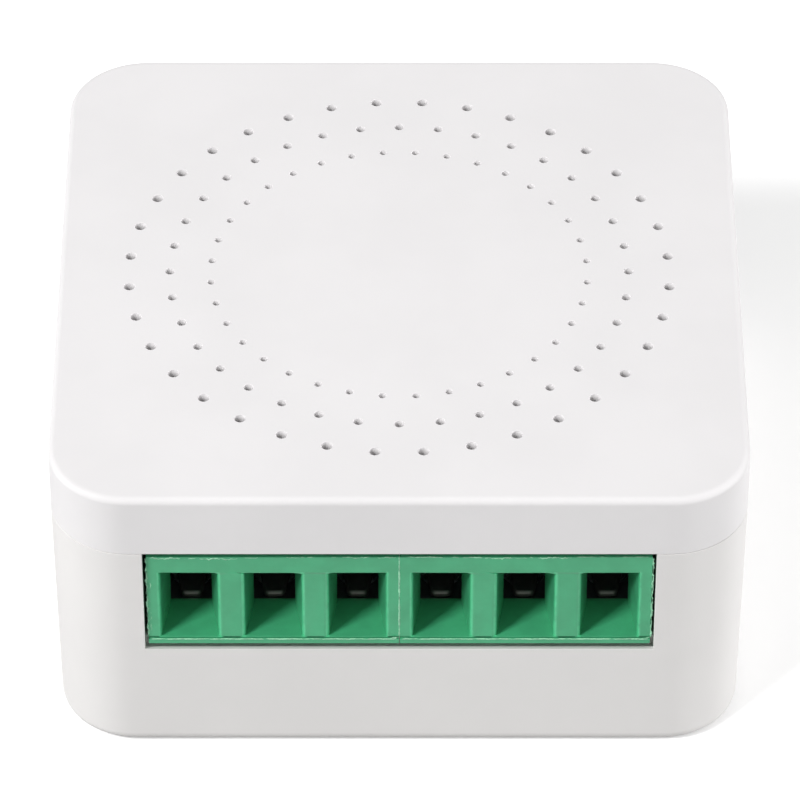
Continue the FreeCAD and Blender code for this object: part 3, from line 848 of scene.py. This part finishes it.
def inner_copy(node: str, name: str, half: float, levels: tuple[float, float],
               flat: float) -> bpy.types.Object:
    """The ribs, hooks and posts inside a shell, taken from its CAD node.

    A face is kept when all its points lie between the levels and nearer the middle than the
    inner wall, or under the shell's rim, and it isn't part of the flat face that carries them.

    Args:
        node: the CAD node.
        name: the new piece's name.
        half: half the distance between the inner walls.
        levels: the lowest and the highest level to keep.
        flat: the level of the flat face.

    Returns:
        The new piece.
    """
    slack, rim_height = 0.01, 3.0
    low, high = levels
    rim = high - rim_height
    mesh = bpy.data.meshes.new(name)
    work = merged_solid(node)
    work.to_mesh(mesh)
    number = np.empty(len(mesh.loops), np.int32)
    mesh.loops.foreach_get("vertex_index", number)
    corners = points_mm(mesh)[number.reshape(-1, 3)]
    reach = np.abs(corners[..., :2]).max(axis=(1, 2))
    level = corners[..., 2]
    bottom, top = level.min(axis=1), level.max(axis=1)
    within = (bottom > low - slack) & (top < high + slack)
    inside = (reach < half - slack) | ((flat > rim) & (top < rim))
    on_flat = (np.abs(level - flat) < slack).all(axis=1)
    kept = within & inside & ~on_flat
    out = [face for face, stays in zip(work.faces, kept) if not stays]
    bmesh.ops.delete(work, geom=out, context="FACES")
    work.to_mesh(mesh)
    work.free()
    return finished_object(name, mesh, 30.0, TOUCH)


def box_mm(node: str) -> tuple[np.ndarray, np.ndarray]:
    """A CAD node's lowest and highest corners, in millimetres."""
    low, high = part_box(node)
    return np.array(low) / MM, np.array(high) / MM


@dataclass
class SquareOutline:
    """A square outline with round corners, walked anticlockwise seen from above.

    A point at an inset is the outline's point less the inset times the outward normal there.
    With an opening, the walk starts at its right end and stops at its left end.
    """

    half: float
    corner: float
    opening: float = 0.0
    steps: int = 16

    def walk(self) -> tuple[np.ndarray, np.ndarray]:
        """Points and outward normals along the outline.

        Returns:
            The points and the normals, each count by 2.
        """
        quarter = np.linspace(0.0, 90.0, self.steps + 1)
        turn = np.radians(quarter + 90.0 * np.arange(-1, 3)[:, None])
        normal = np.stack([np.cos(turn), np.sin(turn)], axis=2)
        corner = np.sign(normal[:, self.steps // 2, None])
        points = (self.half - self.corner) * corner + self.corner * normal
        points, normals = points.reshape(-1, 2), normal.reshape(-1, 2)
        if self.opening:
            right, left = [[self.opening, -self.half]], [[-self.opening, -self.half]]
            points = np.concatenate([right, points, left])
            normals = np.concatenate([[[0.0, -1.0]], normals, [[0.0, -1.0]]])
        return points, normals

    def sweep(self, profile: np.ndarray) -> np.ndarray:
        """Carry a profile round the outline.

        Args:
            profile: inset and level of each point.

        Returns:
            The surface, profile points by outline points by 3.
        """
        points, normals = self.walk()
        inset, level = profile[:, 0], profile[:, 1]
        plan = points[None] - inset[:, None, None] * normals[None]
        height = np.broadcast_to(level[:, None, None], plan.shape[:2] + (1,))
        return np.concatenate([plan, height], axis=2)


def round_hole(draft: Draft, centre: Sequence[float], profile: Sequence[tuple[float, float]],
               count: int, blind: bool = False) -> np.ndarray:
    """Add the wall of a round hole: a profile turned about the hole's upright axis.

    A point is the centre, plus the radius times the cosine and sine of the turn, at the level.

    Args:
        draft: the piece.
        centre: the hole's X and Y.
        profile: radius and level of each ring, from one end to the other.
        count: the points round it.
        blind: whether the last ring is closed.

    Returns:
        The outline of the first ring.
    """
    turn = np.linspace(0.0, 2.0 * math.pi, count, endpoint=False)
    radius, level = np.array(profile).T[..., None, None]
    plan = np.asarray(centre) + radius * np.stack([np.cos(turn), np.sin(turn)], axis=1)
    wall = np.concatenate([plan, np.broadcast_to(level, plan.shape[:2] + (1,))], axis=2)
    draft.grid(wall, ring=True)
    if blind:
        draft.patch(wall[-1])
    return plan[0]


# ---------------------------------------------------------------- sub-assemblies

@dataclass
class Ring:
    """One ring of holes in the cover."""

    radius: float
    hole: float
    turned: bool


@dataclass
class Cover:
    """The shallow cover: a rounded upper edge, three rings of blind holes and a hollow inside."""

    corner: float = 4.75
    edge: float = 0.42
    face_margin: float = 0.06
    lower_edge: float = 0.04
    skirt: float = 0.8
    wall: float = 1.6
    roof: float = 1.6
    skirt_height: float = 1.17
    holes: int = 36
    hole_depth: float = 0.8
    hole_rim: float = 0.015
    hole_taper: float = 0.94
    hole_points: int = 16
    rings: list[Ring] = field(default_factory=lambda: [
        Ring(16.5, 0.68, True), Ring(14.0, 0.58, False), Ring(11.5, 0.46, True)])

    def build(self) -> bpy.types.Object:
        """Build and dress the cover.

        Returns:
            The cover's object.
        """
        _, high = box_mm("top_cover")
        top, bottom = high[2], box_mm("base_shell")[1][2] - self.skirt_height
        outline = SquareOutline(high[0], self.corner)
        rounding = arc((self.edge, top - self.edge), self.edge, 90.0, 180.0, 9)
        lower = arc((self.lower_edge, bottom + self.lower_edge), self.lower_edge, 180.0, 270.0, 4)
        inside = [(self.skirt, bottom), (self.skirt, bottom + self.skirt_height),
                  (self.wall, bottom + self.skirt_height), (self.wall, top - self.roof)]
        profile = np.concatenate([[(self.edge + self.face_margin, top)], rounding, lower, inside])
        draft = Draft()
        surface = outline.sweep(profile)
        draft.grid(surface, ring=True)
        draft.patch(surface[-1])
        draft.pierced(surface[0, :, :2], self._holes(draft, top), top)
        cover = weighted(draft.object("cover", SHELL_SHARP))
        roof = top - self.roof
        hooks = inner_copy("top_cover", "cover_hooks", high[0] - self.wall, (0.0, roof), roof)
        dressed(bevelled(hooks, INNER_EDGE), Look.COVER_PLASTIC, "housing")
        return dressed(cover, Look.COVER_PLASTIC, "housing", ["top_cover"])

    def _holes(self, draft: Draft, top: float) -> list[np.ndarray]:
        """Add the rings of holes: each falls over a worn rim and narrows evenly to its end.

        Args:
            draft: the cover.
            top: the level of its top face.

        Returns:
            The holes' outlines in the top face.
        """
        outlines = []
        step = 2.0 * math.pi / self.holes
        for ring in self.rings:
            turn = step * (np.arange(self.holes) + (0.5 if ring.turned else 0.0))
            centres = ring.radius * np.stack([np.cos(turn), np.sin(turn)], axis=1)
            hole, rim = ring.hole / 2, self.hole_rim
            profile = [(hole + rim, top), (hole, top - rim),
                       (hole * self.hole_taper, top - self.hole_depth)]
            outlines += [round_hole(draft, centre, profile, self.hole_points, True)
                         for centre in centres]
        return outlines


@dataclass
class BaseShell:
    """The deep lower shell: tapered walls on a rounded foot, open at the front for the blocks."""

    corner: float = 4.75
    draft_inset: float = 0.17
    foot: float = 0.9
    floor: float = 1.6
    wall: float = 1.6
    rim_edge: float = 0.02
    tongue_inset: float = 0.85
    tongue_height: float = 1.2
    opening: float = 15.2
    sill: float = SILL_LEVEL
    sill_edge: float = 0.12
    sill_fall: float = 0.16
    sill_depth: float = 0.42
    sill_step: float = 0.05
    sill_slot: float = 0.6
    sill_back: float = 1.3
    jamb_edge: float = 0.1
    hole_rim: float = 0.12
    hole_points: int = 40
    screw_hole: float = 3.4
    button_hole: float = 5.2
    pipe_hole: float = 2.5
    front_reach: float = 19.42
    long_edge: float = 1.0

    def build(self) -> bpy.types.Object:
        """Build and dress the base shell.

        Returns:
            The shell's object.
        """
        _, high = box_mm("base_shell")
        tongue_top = high[2]
        rim = tongue_top - self.tongue_height
        outline = SquareOutline(high[0], self.corner, self.opening)
        foot = arc((self.draft_inset + self.foot, self.foot), self.foot, 270.0, 180.0, 9)
        lean = self.draft_inset * (1.0 - self.sill / rim)
        below = np.concatenate([foot, [(lean, self.sill)]])
        edge = self.rim_edge
        above = np.array([
            (lean, self.sill), (0.0, rim - edge), (edge, rim), (self.tongue_inset, rim),
            (self.tongue_inset, tongue_top - edge), (self.tongue_inset + edge, tongue_top),
            (self.wall, tongue_top), (self.wall, self.sill)])
        inner = np.array([(self.wall, self.sill), (self.wall, self.floor)])
        draft = Draft()
        lower = outline.sweep(below)
        upper = outline.sweep(above)
        inside = outline.sweep(inner)
        draft.grid(lower, ring=True)
        draft.grid(upper)
        draft.grid(inside, ring=True)
        draft.patch(upper[:, 0])
        draft.patch(upper[:, -1])
        self._sill(draft, upper[0, [0, -1]], upper[-1, [0, -1]])
        holes = self._holes(draft)
        draft.pierced(lower[0, :, :2], holes, 0.0)
        draft.pierced(inside[-1, :, :2], holes, self.floor)
        shell = draft.object("base", SHELL_SHARP)
        weighted(round_weighted(shell, self.sill_edge, 4, self._opening_weights))
        ribs = inner_copy("base_shell", "base_ribs", high[0] - self.wall,
                          (self.floor, tongue_top), self.floor)
        dressed(bevelled(ribs, INNER_EDGE), Look.BASE_PLASTIC, "housing")
        return dressed(shell, Look.BASE_PLASTIC, "housing", ["base_shell"])

    def _sill(self, draft: Draft, outer: np.ndarray, inner: np.ndarray) -> None:
        """Add the sill: it falls inwards from its outer edge to a slot under the blocks.

        Args:
            draft: the piece.
            outer: the right and left ends of its outer edge.
            inner: the right and left ends of its inner edge.
        """
        depth = [self.sill_depth, self.sill_depth + self.sill_step, self.sill_back, self.sill_back]
        fall = [self.sill_fall, self.sill_slot, self.sill_slot, 0.0]
        rows = [outer]
        for along, down in zip(depth, fall):
            rows.append(outer + along / self.wall * (inner - outer) - np.array([0.0, 0.0, down]))
        surface = np.stack(rows + [inner])
        draft.grid(surface)
        for side in (0, 1):
            draft.patch(surface[:-1, side])

    def _holes(self, draft: Draft) -> list[np.ndarray]:
        """Add the walls of the floor's holes, with a small rim at both ends.

        Args:
            draft: the shell.

        Returns:
            The holes' outlines in both faces of the floor.
        """
        sizes = {f"terminal_screw_{pole}": self.screw_hole for pole in range(1, 7)}
        sizes |= {"pairing_button": self.button_hole, "light_pipe": self.pipe_hole}
        outlines = []
        for node, size in sizes.items():
            hole, rim = size / 2, self.hole_rim
            profile = [(hole + rim, 0.0), (hole, rim), (hole, self.floor - rim),
                       (hole + rim, self.floor)]
            centre = sum(box_mm(node))[:2] / 2
            outlines.append(round_hole(draft, centre, profile, self.hole_points))
        return outlines

    def _opening_weights(self, ends: np.ndarray) -> np.ndarray:
        """Rounding of the opening's outer edges, the sill's more than the jambs'.

        Args:
            ends: both ends of each edge, edges by 2 by 3.

        Returns:
            The share of the sill's rounding that each edge gets.
        """
        x, y, z = np.moveaxis(ends, 2, 0)
        in_front = (y < -self.front_reach).all(axis=1)
        on_sill = (np.abs(z - self.sill) < TOUCH).all(axis=1)
        along, upright = (np.ptp(axis, axis=1) > self.long_edge for axis in (x, z))
        on_jamb = (np.abs(np.abs(x) - self.opening) < TOUCH).all(axis=1)
        between = (np.abs(x) < self.opening + TOUCH).all(axis=1)
        sill = in_front & on_sill & along & between
        jamb = in_front & on_jamb & upright & (z.min(axis=1) > self.sill - TOUCH)
        return np.where(sill, 1.0, np.where(jamb, self.jamb_edge / self.sill_edge, 0.0))


def ripple(along: np.ndarray, length: float, seed: float) -> np.ndarray:
    """An uneven wave from -1 to 1: five sines whose phases follow the seed.

    Args:
        along: distances in millimetres.
        length: the longest wave in millimetres.
        seed: any number; the same number gives the same wave.

    Returns:
        The wave at each distance.
    """
    order = np.arange(1, 6)
    pace = 2.0 * math.pi / length * order ** 1.35
    phase = seed * order ** 2.1
    share = 1.0 / order ** 0.7
    waves = np.sin(np.multiply.outer(along, pace) + phase) * share
    return waves.sum(axis=1) / share.sum()


@dataclass
class FlashLine:
    """A ragged thread of flash between two points of a front face, in its X and Z.

    The swell is the radius's mean share and how far a ripple changes it.
    """

    start: tuple[float, float]
    end: tuple[float, float]
    radius: float
    wander: float
    seed: float
    broken: float = 0.0
    wave: float = 1.3
    step: float = 0.06
    sides: int = 8
    fade: float = 0.25
    swell: tuple[float, float] = (0.55, 0.9)
    swell_wave: float = 2.3
    swell_seed: float = 5.0
    least: float = 0.02
    core: float = 0.001
    flatness: float = 0.8

    def add_to(self, draft: Draft, face_y: float) -> None:
        """Add the thread to a piece.

        Its centre line swings across the line by the wander times one ripple. Its radius
        follows a second, longer ripple, is least where that is below the broken share, and
        fades at both ends.

        Args:
            draft: the piece.
            face_y: the face's distance from front to back.
        """
        start, end = np.array(self.start), np.array(self.end)
        length = float(np.linalg.norm(end - start))
        along = np.linspace(0.0, length, int(length / self.step) + 2)
        forward = (end - start) / length
        across = np.array([-forward[1], forward[0]])
        swing = self.wander * ripple(along, self.wave, self.seed)
        ends = np.clip(np.minimum(along, length - along) / self.fade, 0.0, 1.0)
        base, share = self.swell
        swell = ripple(along, self.wave * self.swell_wave, self.seed + self.swell_seed)
        size = np.clip(base + share * swell - self.broken, self.least, 1.0)
        radius = self.radius * size * ends ** 0.5 + self.core
        centre = start + np.outer(along, forward) + np.outer(swing, across)
        turn = np.linspace(0.0, 2.0 * math.pi, self.sides, endpoint=False)
        flat = centre[:, None] + np.outer(radius, np.cos(turn))[..., None] * across
        depth = face_y - np.outer(radius, np.sin(turn)) * self.flatness
        draft.grid(np.stack([flat[..., 0], depth, flat[..., 1]], axis=2), ring=True)
        for row in (0, -1):
            draft.patch(np.stack([flat[row, :, 0], depth[row], flat[row, :, 1]], axis=1))


@dataclass
class TerminalBlocks:
    """Two moulded three-pole blocks with rounded rims and thin flash along their edges.

    Levels are over the sill. The mouths' rims lie between distances from the block's sides,
    from the sill and from the block's top.
    """

    edge: float = 0.07
    rim: float = 0.26
    top_sink: float = 0.2
    lip_rise: float = 0.15
    ledge: float = 0.17
    lip_step: float = 0.1
    flash: float = 0.06
    flash_proud: float = 0.01
    nose: float = -20.0
    face: float = -20.3
    step_levels: tuple[float, float] = (0.3, 0.62)
    foot_rise: float = 0.06
    ledge_level: float = 0.67
    ledge_span: tuple[float, float] = (-18.0, -16.7)
    slack: float = 0.01
    mouth_side: float = 0.3
    mouth_foot: float = 0.65
    mouth_head: tuple[float, float] = (1.0, 2.0)
    upper_share: float = 0.35
    flash_top: float = 0.28
    lip_top: float = 0.47

    def build(self) -> None:
        """Build and dress both blocks: one moulding used twice, and each one's flash."""
        master, _ = box_mm("terminal_block_left")
        for side in ("left", "right"):
            node = f"terminal_block_{side}"
            low, high = box_mm(node)
            block = solid_copy("terminal_block_left", f"block_{side}")
            move_points(block, self._settled)
            move_points(block, lambda points: points + low - master)
            round_weighted(block, self.rim, 4, lambda ends: self._rims(ends, low, high))
            dressed(bevelled(block, self.edge, 3, 50.0), Look.TERMINAL_PLASTIC, "housing",
                    [node])
            draft = Draft()
            lip_y = low[1] + self.flash_proud
            for line in self._face_lines(side, low, high):
                line.add_to(draft, lip_y + self.lip_step)
            for line in self._lip_lines(side, low, high):
                line.add_to(draft, lip_y)
            flash = draft.object(f"flash_{side}", FLASH_SHARP)
            dressed(flash, Look.TERMINAL_FLASH, "housing")

    def _settled(self, points: np.ndarray) -> np.ndarray:
        """Sink the nose's upper front edge, raise the lip and bring the throats' ledge forward.

        Args:
            points: the moulding's points.

        Returns:
            The moved points.
        """
        place, level = points[:, 1], points[:, 2] - SILL_LEVEL
        front = place < self.nose
        foot, head = self.step_levels
        cases = [front & (level < foot), front & (level < head),
                 front & (level > level.max() - self.slack)]
        rise = np.select(cases, [self.foot_rise, self.lip_rise, -self.top_sink], 0.0)
        near, far = self.ledge_span
        at_ledge = np.abs(level - self.ledge_level) < 2 * self.slack
        ledge = at_ledge & (place > near) & (place < far)
        forward = np.where(ledge, -self.ledge, 0.0)
        return points + np.stack([np.zeros(len(points)), forward, rise], axis=1)

    def _rims(self, ends: np.ndarray, low: np.ndarray, high: np.ndarray) -> np.ndarray:
        """Pick the rims of the mouths: the upright ones fully, the upper ones by a share.

        Args:
            ends: both ends of each edge, edges by 2 by 3.
            low: the block's lowest corner.
            high: its highest corner.

        Returns:
            The share of the rims' rounding that each edge gets.
        """
        x, y, z = np.moveaxis(ends, 2, 0)
        wide, tall = np.ptp(x, axis=1), np.ptp(z, axis=1)
        near, far = high[2] - np.array(self.mouth_head)
        within = ((y < self.face) & (x > low[0] + self.mouth_side)
                  & (x < high[0] - self.mouth_side) & (z > SILL_LEVEL + self.mouth_foot)
                  & (z < near)).all(axis=1)
        upright = within & (tall > 5 * self.slack) & (wide < self.slack)
        level = within & (z > far).all(axis=1) & (tall < self.slack)
        return np.where(upright, 1.0, np.where(level, self.upper_share, 0.0))

    def _face_lines(self, side: str, low: np.ndarray, high: np.ndarray) -> list[FlashLine]:
        """Flash on the nose's face: along the top, up the outer side and along the seam.

        Args:
            side: which block, left or right.
            low: the block's lowest corner.
            high: its highest corner.

        Returns:
            The threads.
        """
        top, size = high[2] - self.flash_top, self.flash
        bottom = self._lip_top() + 0.05
        left, right = low[0], high[0]
        if side == "left":
            return [
                FlashLine((left + 0.15, top), (left + 5.7, top - 0.06), size, 0.1, 1.0),
                FlashLine((left + 5.7, top + 0.03), (right - 2.8, top + 0.08), size * 0.6, 0.04,
                          2.0, 0.25),
                FlashLine((right - 2.9, top + 0.05), (right - 0.1, top + 0.05), size * 0.8, 0.07,
                          3.0),
                FlashLine((left - 0.02, top), (left - 0.01, bottom), size, 0.08, 4.0, wave=0.9),
                FlashLine((left + 0.2, top - 0.1), (left + 0.18, bottom), size * 0.5, 0.05, 4.5,
                          0.3),
                FlashLine((right + 0.02, top + 0.2), (right + 0.02, bottom), size, 0.012, 5.0,
                          -0.3),
            ]
        return [
            FlashLine((left + 0.1, top + 0.1), (left + 5.0, top + 0.05), size * 0.7, 0.03, 6.0),
            FlashLine((left + 5.0, top), (left + 10.4, top + 0.05), size * 0.9, 0.08, 7.0),
            FlashLine((left + 10.4, top + 0.1), (right - 0.2, top + 0.1), size * 0.5, 0.02, 8.0,
                      0.2),
            FlashLine((right + 0.06, top), (right + 0.04, bottom), size, 0.06, 9.0, -0.1,
                      wave=0.9),
        ]

    def _lip_lines(self, side: str, low: np.ndarray, high: np.ndarray) -> list[FlashLine]:
        """Flash along the lip's upper edge, with a blob at its ends.

        Args:
            side: which block, left or right.
            low: the block's lowest corner.
            high: its highest corner.

        Returns:
            The threads.
        """
        level, size = self._lip_top(), self.flash
        left, right = low[0], high[0]
        seed = 11.0 if side == "left" else 17.0
        return [
            FlashLine((left + 0.1, level), (right - 0.1, level), size * 0.75, 0.025, seed, -0.4),
            FlashLine((left + 0.02, level + 0.1), (left + 0.55, level - 0.02), size * 1.3, 0.07,
                      seed + 1),
            FlashLine((right - 0.55, level), (right - 0.02, level + 0.14), size * 1.3, 0.07,
                      seed + 2),
        ]

    def _lip_top(self) -> float:
        """The level of the lip's upper edge."""
        return SILL_LEVEL + self.lip_top + self.lip_rise


@dataclass
class Clamps:
    """Six contact bars, screws and cages."""

    bar_edge: float = 0.16
    screw_edge: float = 0.08
    cage_edge: float = 0.1
    poles: int = 6

    def build(self) -> None:
        """Build and dress every pole's metal parts."""
        for pole in range(1, self.poles + 1):
            self._copy(f"contact_bar_{pole}", f"bar_{pole}", self.bar_edge, Look.TINNED_BRASS,
                       "housing")
            self._copy(f"terminal_screw_{pole}", f"screw_{pole}_metal", self.screw_edge,
                       Look.SCREW_STEEL, f"screw_{pole}")
            self._copy(f"clamp_cage_{pole}", f"cage_{pole}_metal", self.cage_edge,
                       Look.CAGE_STEEL, f"cage_{pole}")

    def _copy(self, node: str, name: str, edge: float, look: Look, body: str) -> None:
        """Dress a bevelled copy of one metal part, which stands for its CAD node."""
        dressed(bevelled(solid_copy(node, name), edge), look, body, [node])


@dataclass
class ButtonAndPipe:
    """The pairing button and the light pipe in the underside."""

    button_edge: float = 0.25
    pipe_edge: float = 0.08

    def build(self) -> None:
        """Build and dress both pieces."""
        button = bevelled(solid_copy("pairing_button", "button_cap"), self.button_edge, 4)
        dressed(button, Look.BUTTON_PLASTIC, "button", ["pairing_button"])
        pipe = bevelled(solid_copy("light_pipe", "light_guide"), self.pipe_edge)
        dressed(pipe, Look.CLEAR_PLASTIC, "housing", ["light_pipe"])


class BoardParts:
    """The circuit board and everything on it: CAD nodes with their own finishes."""

    def build(self) -> None:
        """Give every node that still shows its finish from its material slot."""
        for name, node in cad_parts.items():
            if node.hide_render:
                continue
            for index, old in enumerate(node.data.materials):
                slot = old.name.split(".")[0]
                node.data.materials[index] = material_of(Look[slot.upper()])
            LOG.info("%s keeps its solid", name)


# ---------------------------------------------------------------------- studio

@dataclass
class Lamp:
    """One soft square lamp, aimed at the module.

    Its level is the brightness that it alone would give a white face turned towards it.
    """

    name: str
    azimuth: float
    elevation: float
    distance: float
    size: float
    level: float

    def power(self) -> float:
        """The lamp's power in watts: its level times the square of pi and of the distance."""
        return self.level * (math.pi * self.distance * MM) ** 2


@dataclass
class Studio:
    """Pale floor, soft lamps, white surroundings and the camera."""

    lens: float = 271.2
    sensor: float = 36.0
    camera_place: Colour = (0.04, -280.70, 258.06)
    camera_aim: Colour = (0.0, 0.7488, -0.6628)
    floor_half: float = 900.0
    floor_level: float = -0.02
    floor_seen: float = 0.94
    floor_grain: float = 0.02
    floor_bounce: float = 0.5
    floor_glow: float = 0.3
    sky: float = 0.44
    sky_gloss: float = 1.0
    lamps: list[Lamp] = field(default_factory=lambda: [
        Lamp("key_lamp", -48.0, 46.0, 900.0, 180.0, 0.7),
        Lamp("right_lamp", 88.0, 10.0, 900.0, 300.0, 0.63),
        Lamp("left_lamp", -86.0, 10.0, 900.0, 300.0, 0.14),
    ])

    def build(self) -> None:
        """Set up the floor, the lamps, the world and the camera."""
        self._floor()
        for lamp in self.lamps:
            self._lamp(lamp)
        self._world()
        self._camera()
        bpy.context.scene.view_settings.view_transform = "Standard"

    def _floor(self) -> None:
        """A pale floor that keeps the module's shadow."""
        reach = np.linspace(-self.floor_half, self.floor_half, 3)
        x, y = np.meshgrid(reach, reach)
        draft = Draft()
        draft.grid(np.stack([x, y, np.full_like(x, self.floor_level)], axis=2))
        floor = draft.object("studio_floor")
        bench = NodeBench("studio_white")
        camera = bench.add("ShaderNodeLightPath", {}, {}, "Is Camera Ray")
        mirror = bench.add("ShaderNodeLightPath", {}, {}, "Is Glossy Ray")
        grain = self.floor_grain
        paper = bench.noise(40.0) * grain + (self.floor_seen - grain / 2)
        level = paper * ((camera + mirror) * (1.0 - self.floor_bounce) + self.floor_bounce)
        glow = camera * self.floor_glow
        floor.data.materials.append(bench.finish(
            Base_Color=bench.grey(level), Roughness=0.9, Specular_IOR_Level=0.1,
            Emission_Color=bench.grey(glow), Emission_Strength=1.0))

    def _lamp(self, lamp: Lamp) -> None:
        """Place one lamp at its azimuth, measured from the front towards the right.

        Args:
            lamp: the lamp.
        """
        turn, rise = math.radians(lamp.azimuth), math.radians(lamp.elevation)
        away = Vector((math.sin(turn) * math.cos(rise), -math.cos(turn) * math.cos(rise),
                       math.sin(rise)))
        data = bpy.data.lights.new(lamp.name, "AREA")
        data.size = lamp.size * MM
        data.energy = lamp.power()
        light = bpy.data.objects.new(lamp.name, data)
        light.location = away * lamp.distance * MM + Vector((0.0, 0.0, 0.01))
        light.rotation_euler = away.to_track_quat("Z", "Y").to_euler()
        bpy.context.scene.collection.objects.link(light)

    def _world(self) -> None:
        """White to the camera and in reflections, softer as a light."""
        world = bpy.data.worlds.new("studio_world")
        world.use_nodes = True
        nodes, links = world.node_tree.nodes, world.node_tree.links
        nodes.clear()
        path = nodes.new("ShaderNodeLightPath")
        output = nodes.new("ShaderNodeOutputWorld")
        light = nodes.new("ShaderNodeBackground")
        light.inputs["Strength"].default_value = self.sky
        shown = light
        for ray, strength in (("Is Glossy Ray", self.sky_gloss), ("Is Camera Ray", 1.0)):
            other = nodes.new("ShaderNodeBackground")
            other.inputs["Strength"].default_value = strength
            either = nodes.new("ShaderNodeMixShader")
            links.new(path.outputs[ray], either.inputs[0])
            links.new(shown.outputs[0], either.inputs[1])
            links.new(other.outputs[0], either.inputs[2])
            shown = either
        for node in nodes:
            if node.bl_idname == "ShaderNodeBackground":
                node.inputs["Color"].default_value = (1.0, 1.0, 1.0, 1.0)
        links.new(shown.outputs[0], output.inputs["Surface"])
        bpy.context.scene.world = world

    def _camera(self) -> None:
        """Place the camera at the photograph's viewing angle."""
        data = bpy.data.cameras.new("photo_camera")
        data.lens = self.lens
        data.sensor_width = self.sensor
        data.clip_start = 0.01
        data.clip_end = 10.0
        camera = bpy.data.objects.new("photo_camera", data)
        camera.location = Vector(self.camera_place) * MM
        camera.rotation_euler = Vector(self.camera_aim).to_track_quat("-Z", "Y").to_euler()
        bpy.context.scene.collection.objects.link(camera)
        bpy.context.scene.camera = camera


def main() -> None:
    """Build every sub-assembly in order."""
    logging.basicConfig(level=logging.INFO, format="%(name)s: %(message)s")
    Cover().build()
    BaseShell().build()
    TerminalBlocks().build()
    Clamps().build()
    ButtonAndPipe().build()
    BoardParts().build()
    Studio().build()


if __name__ == "__main__":
    main()
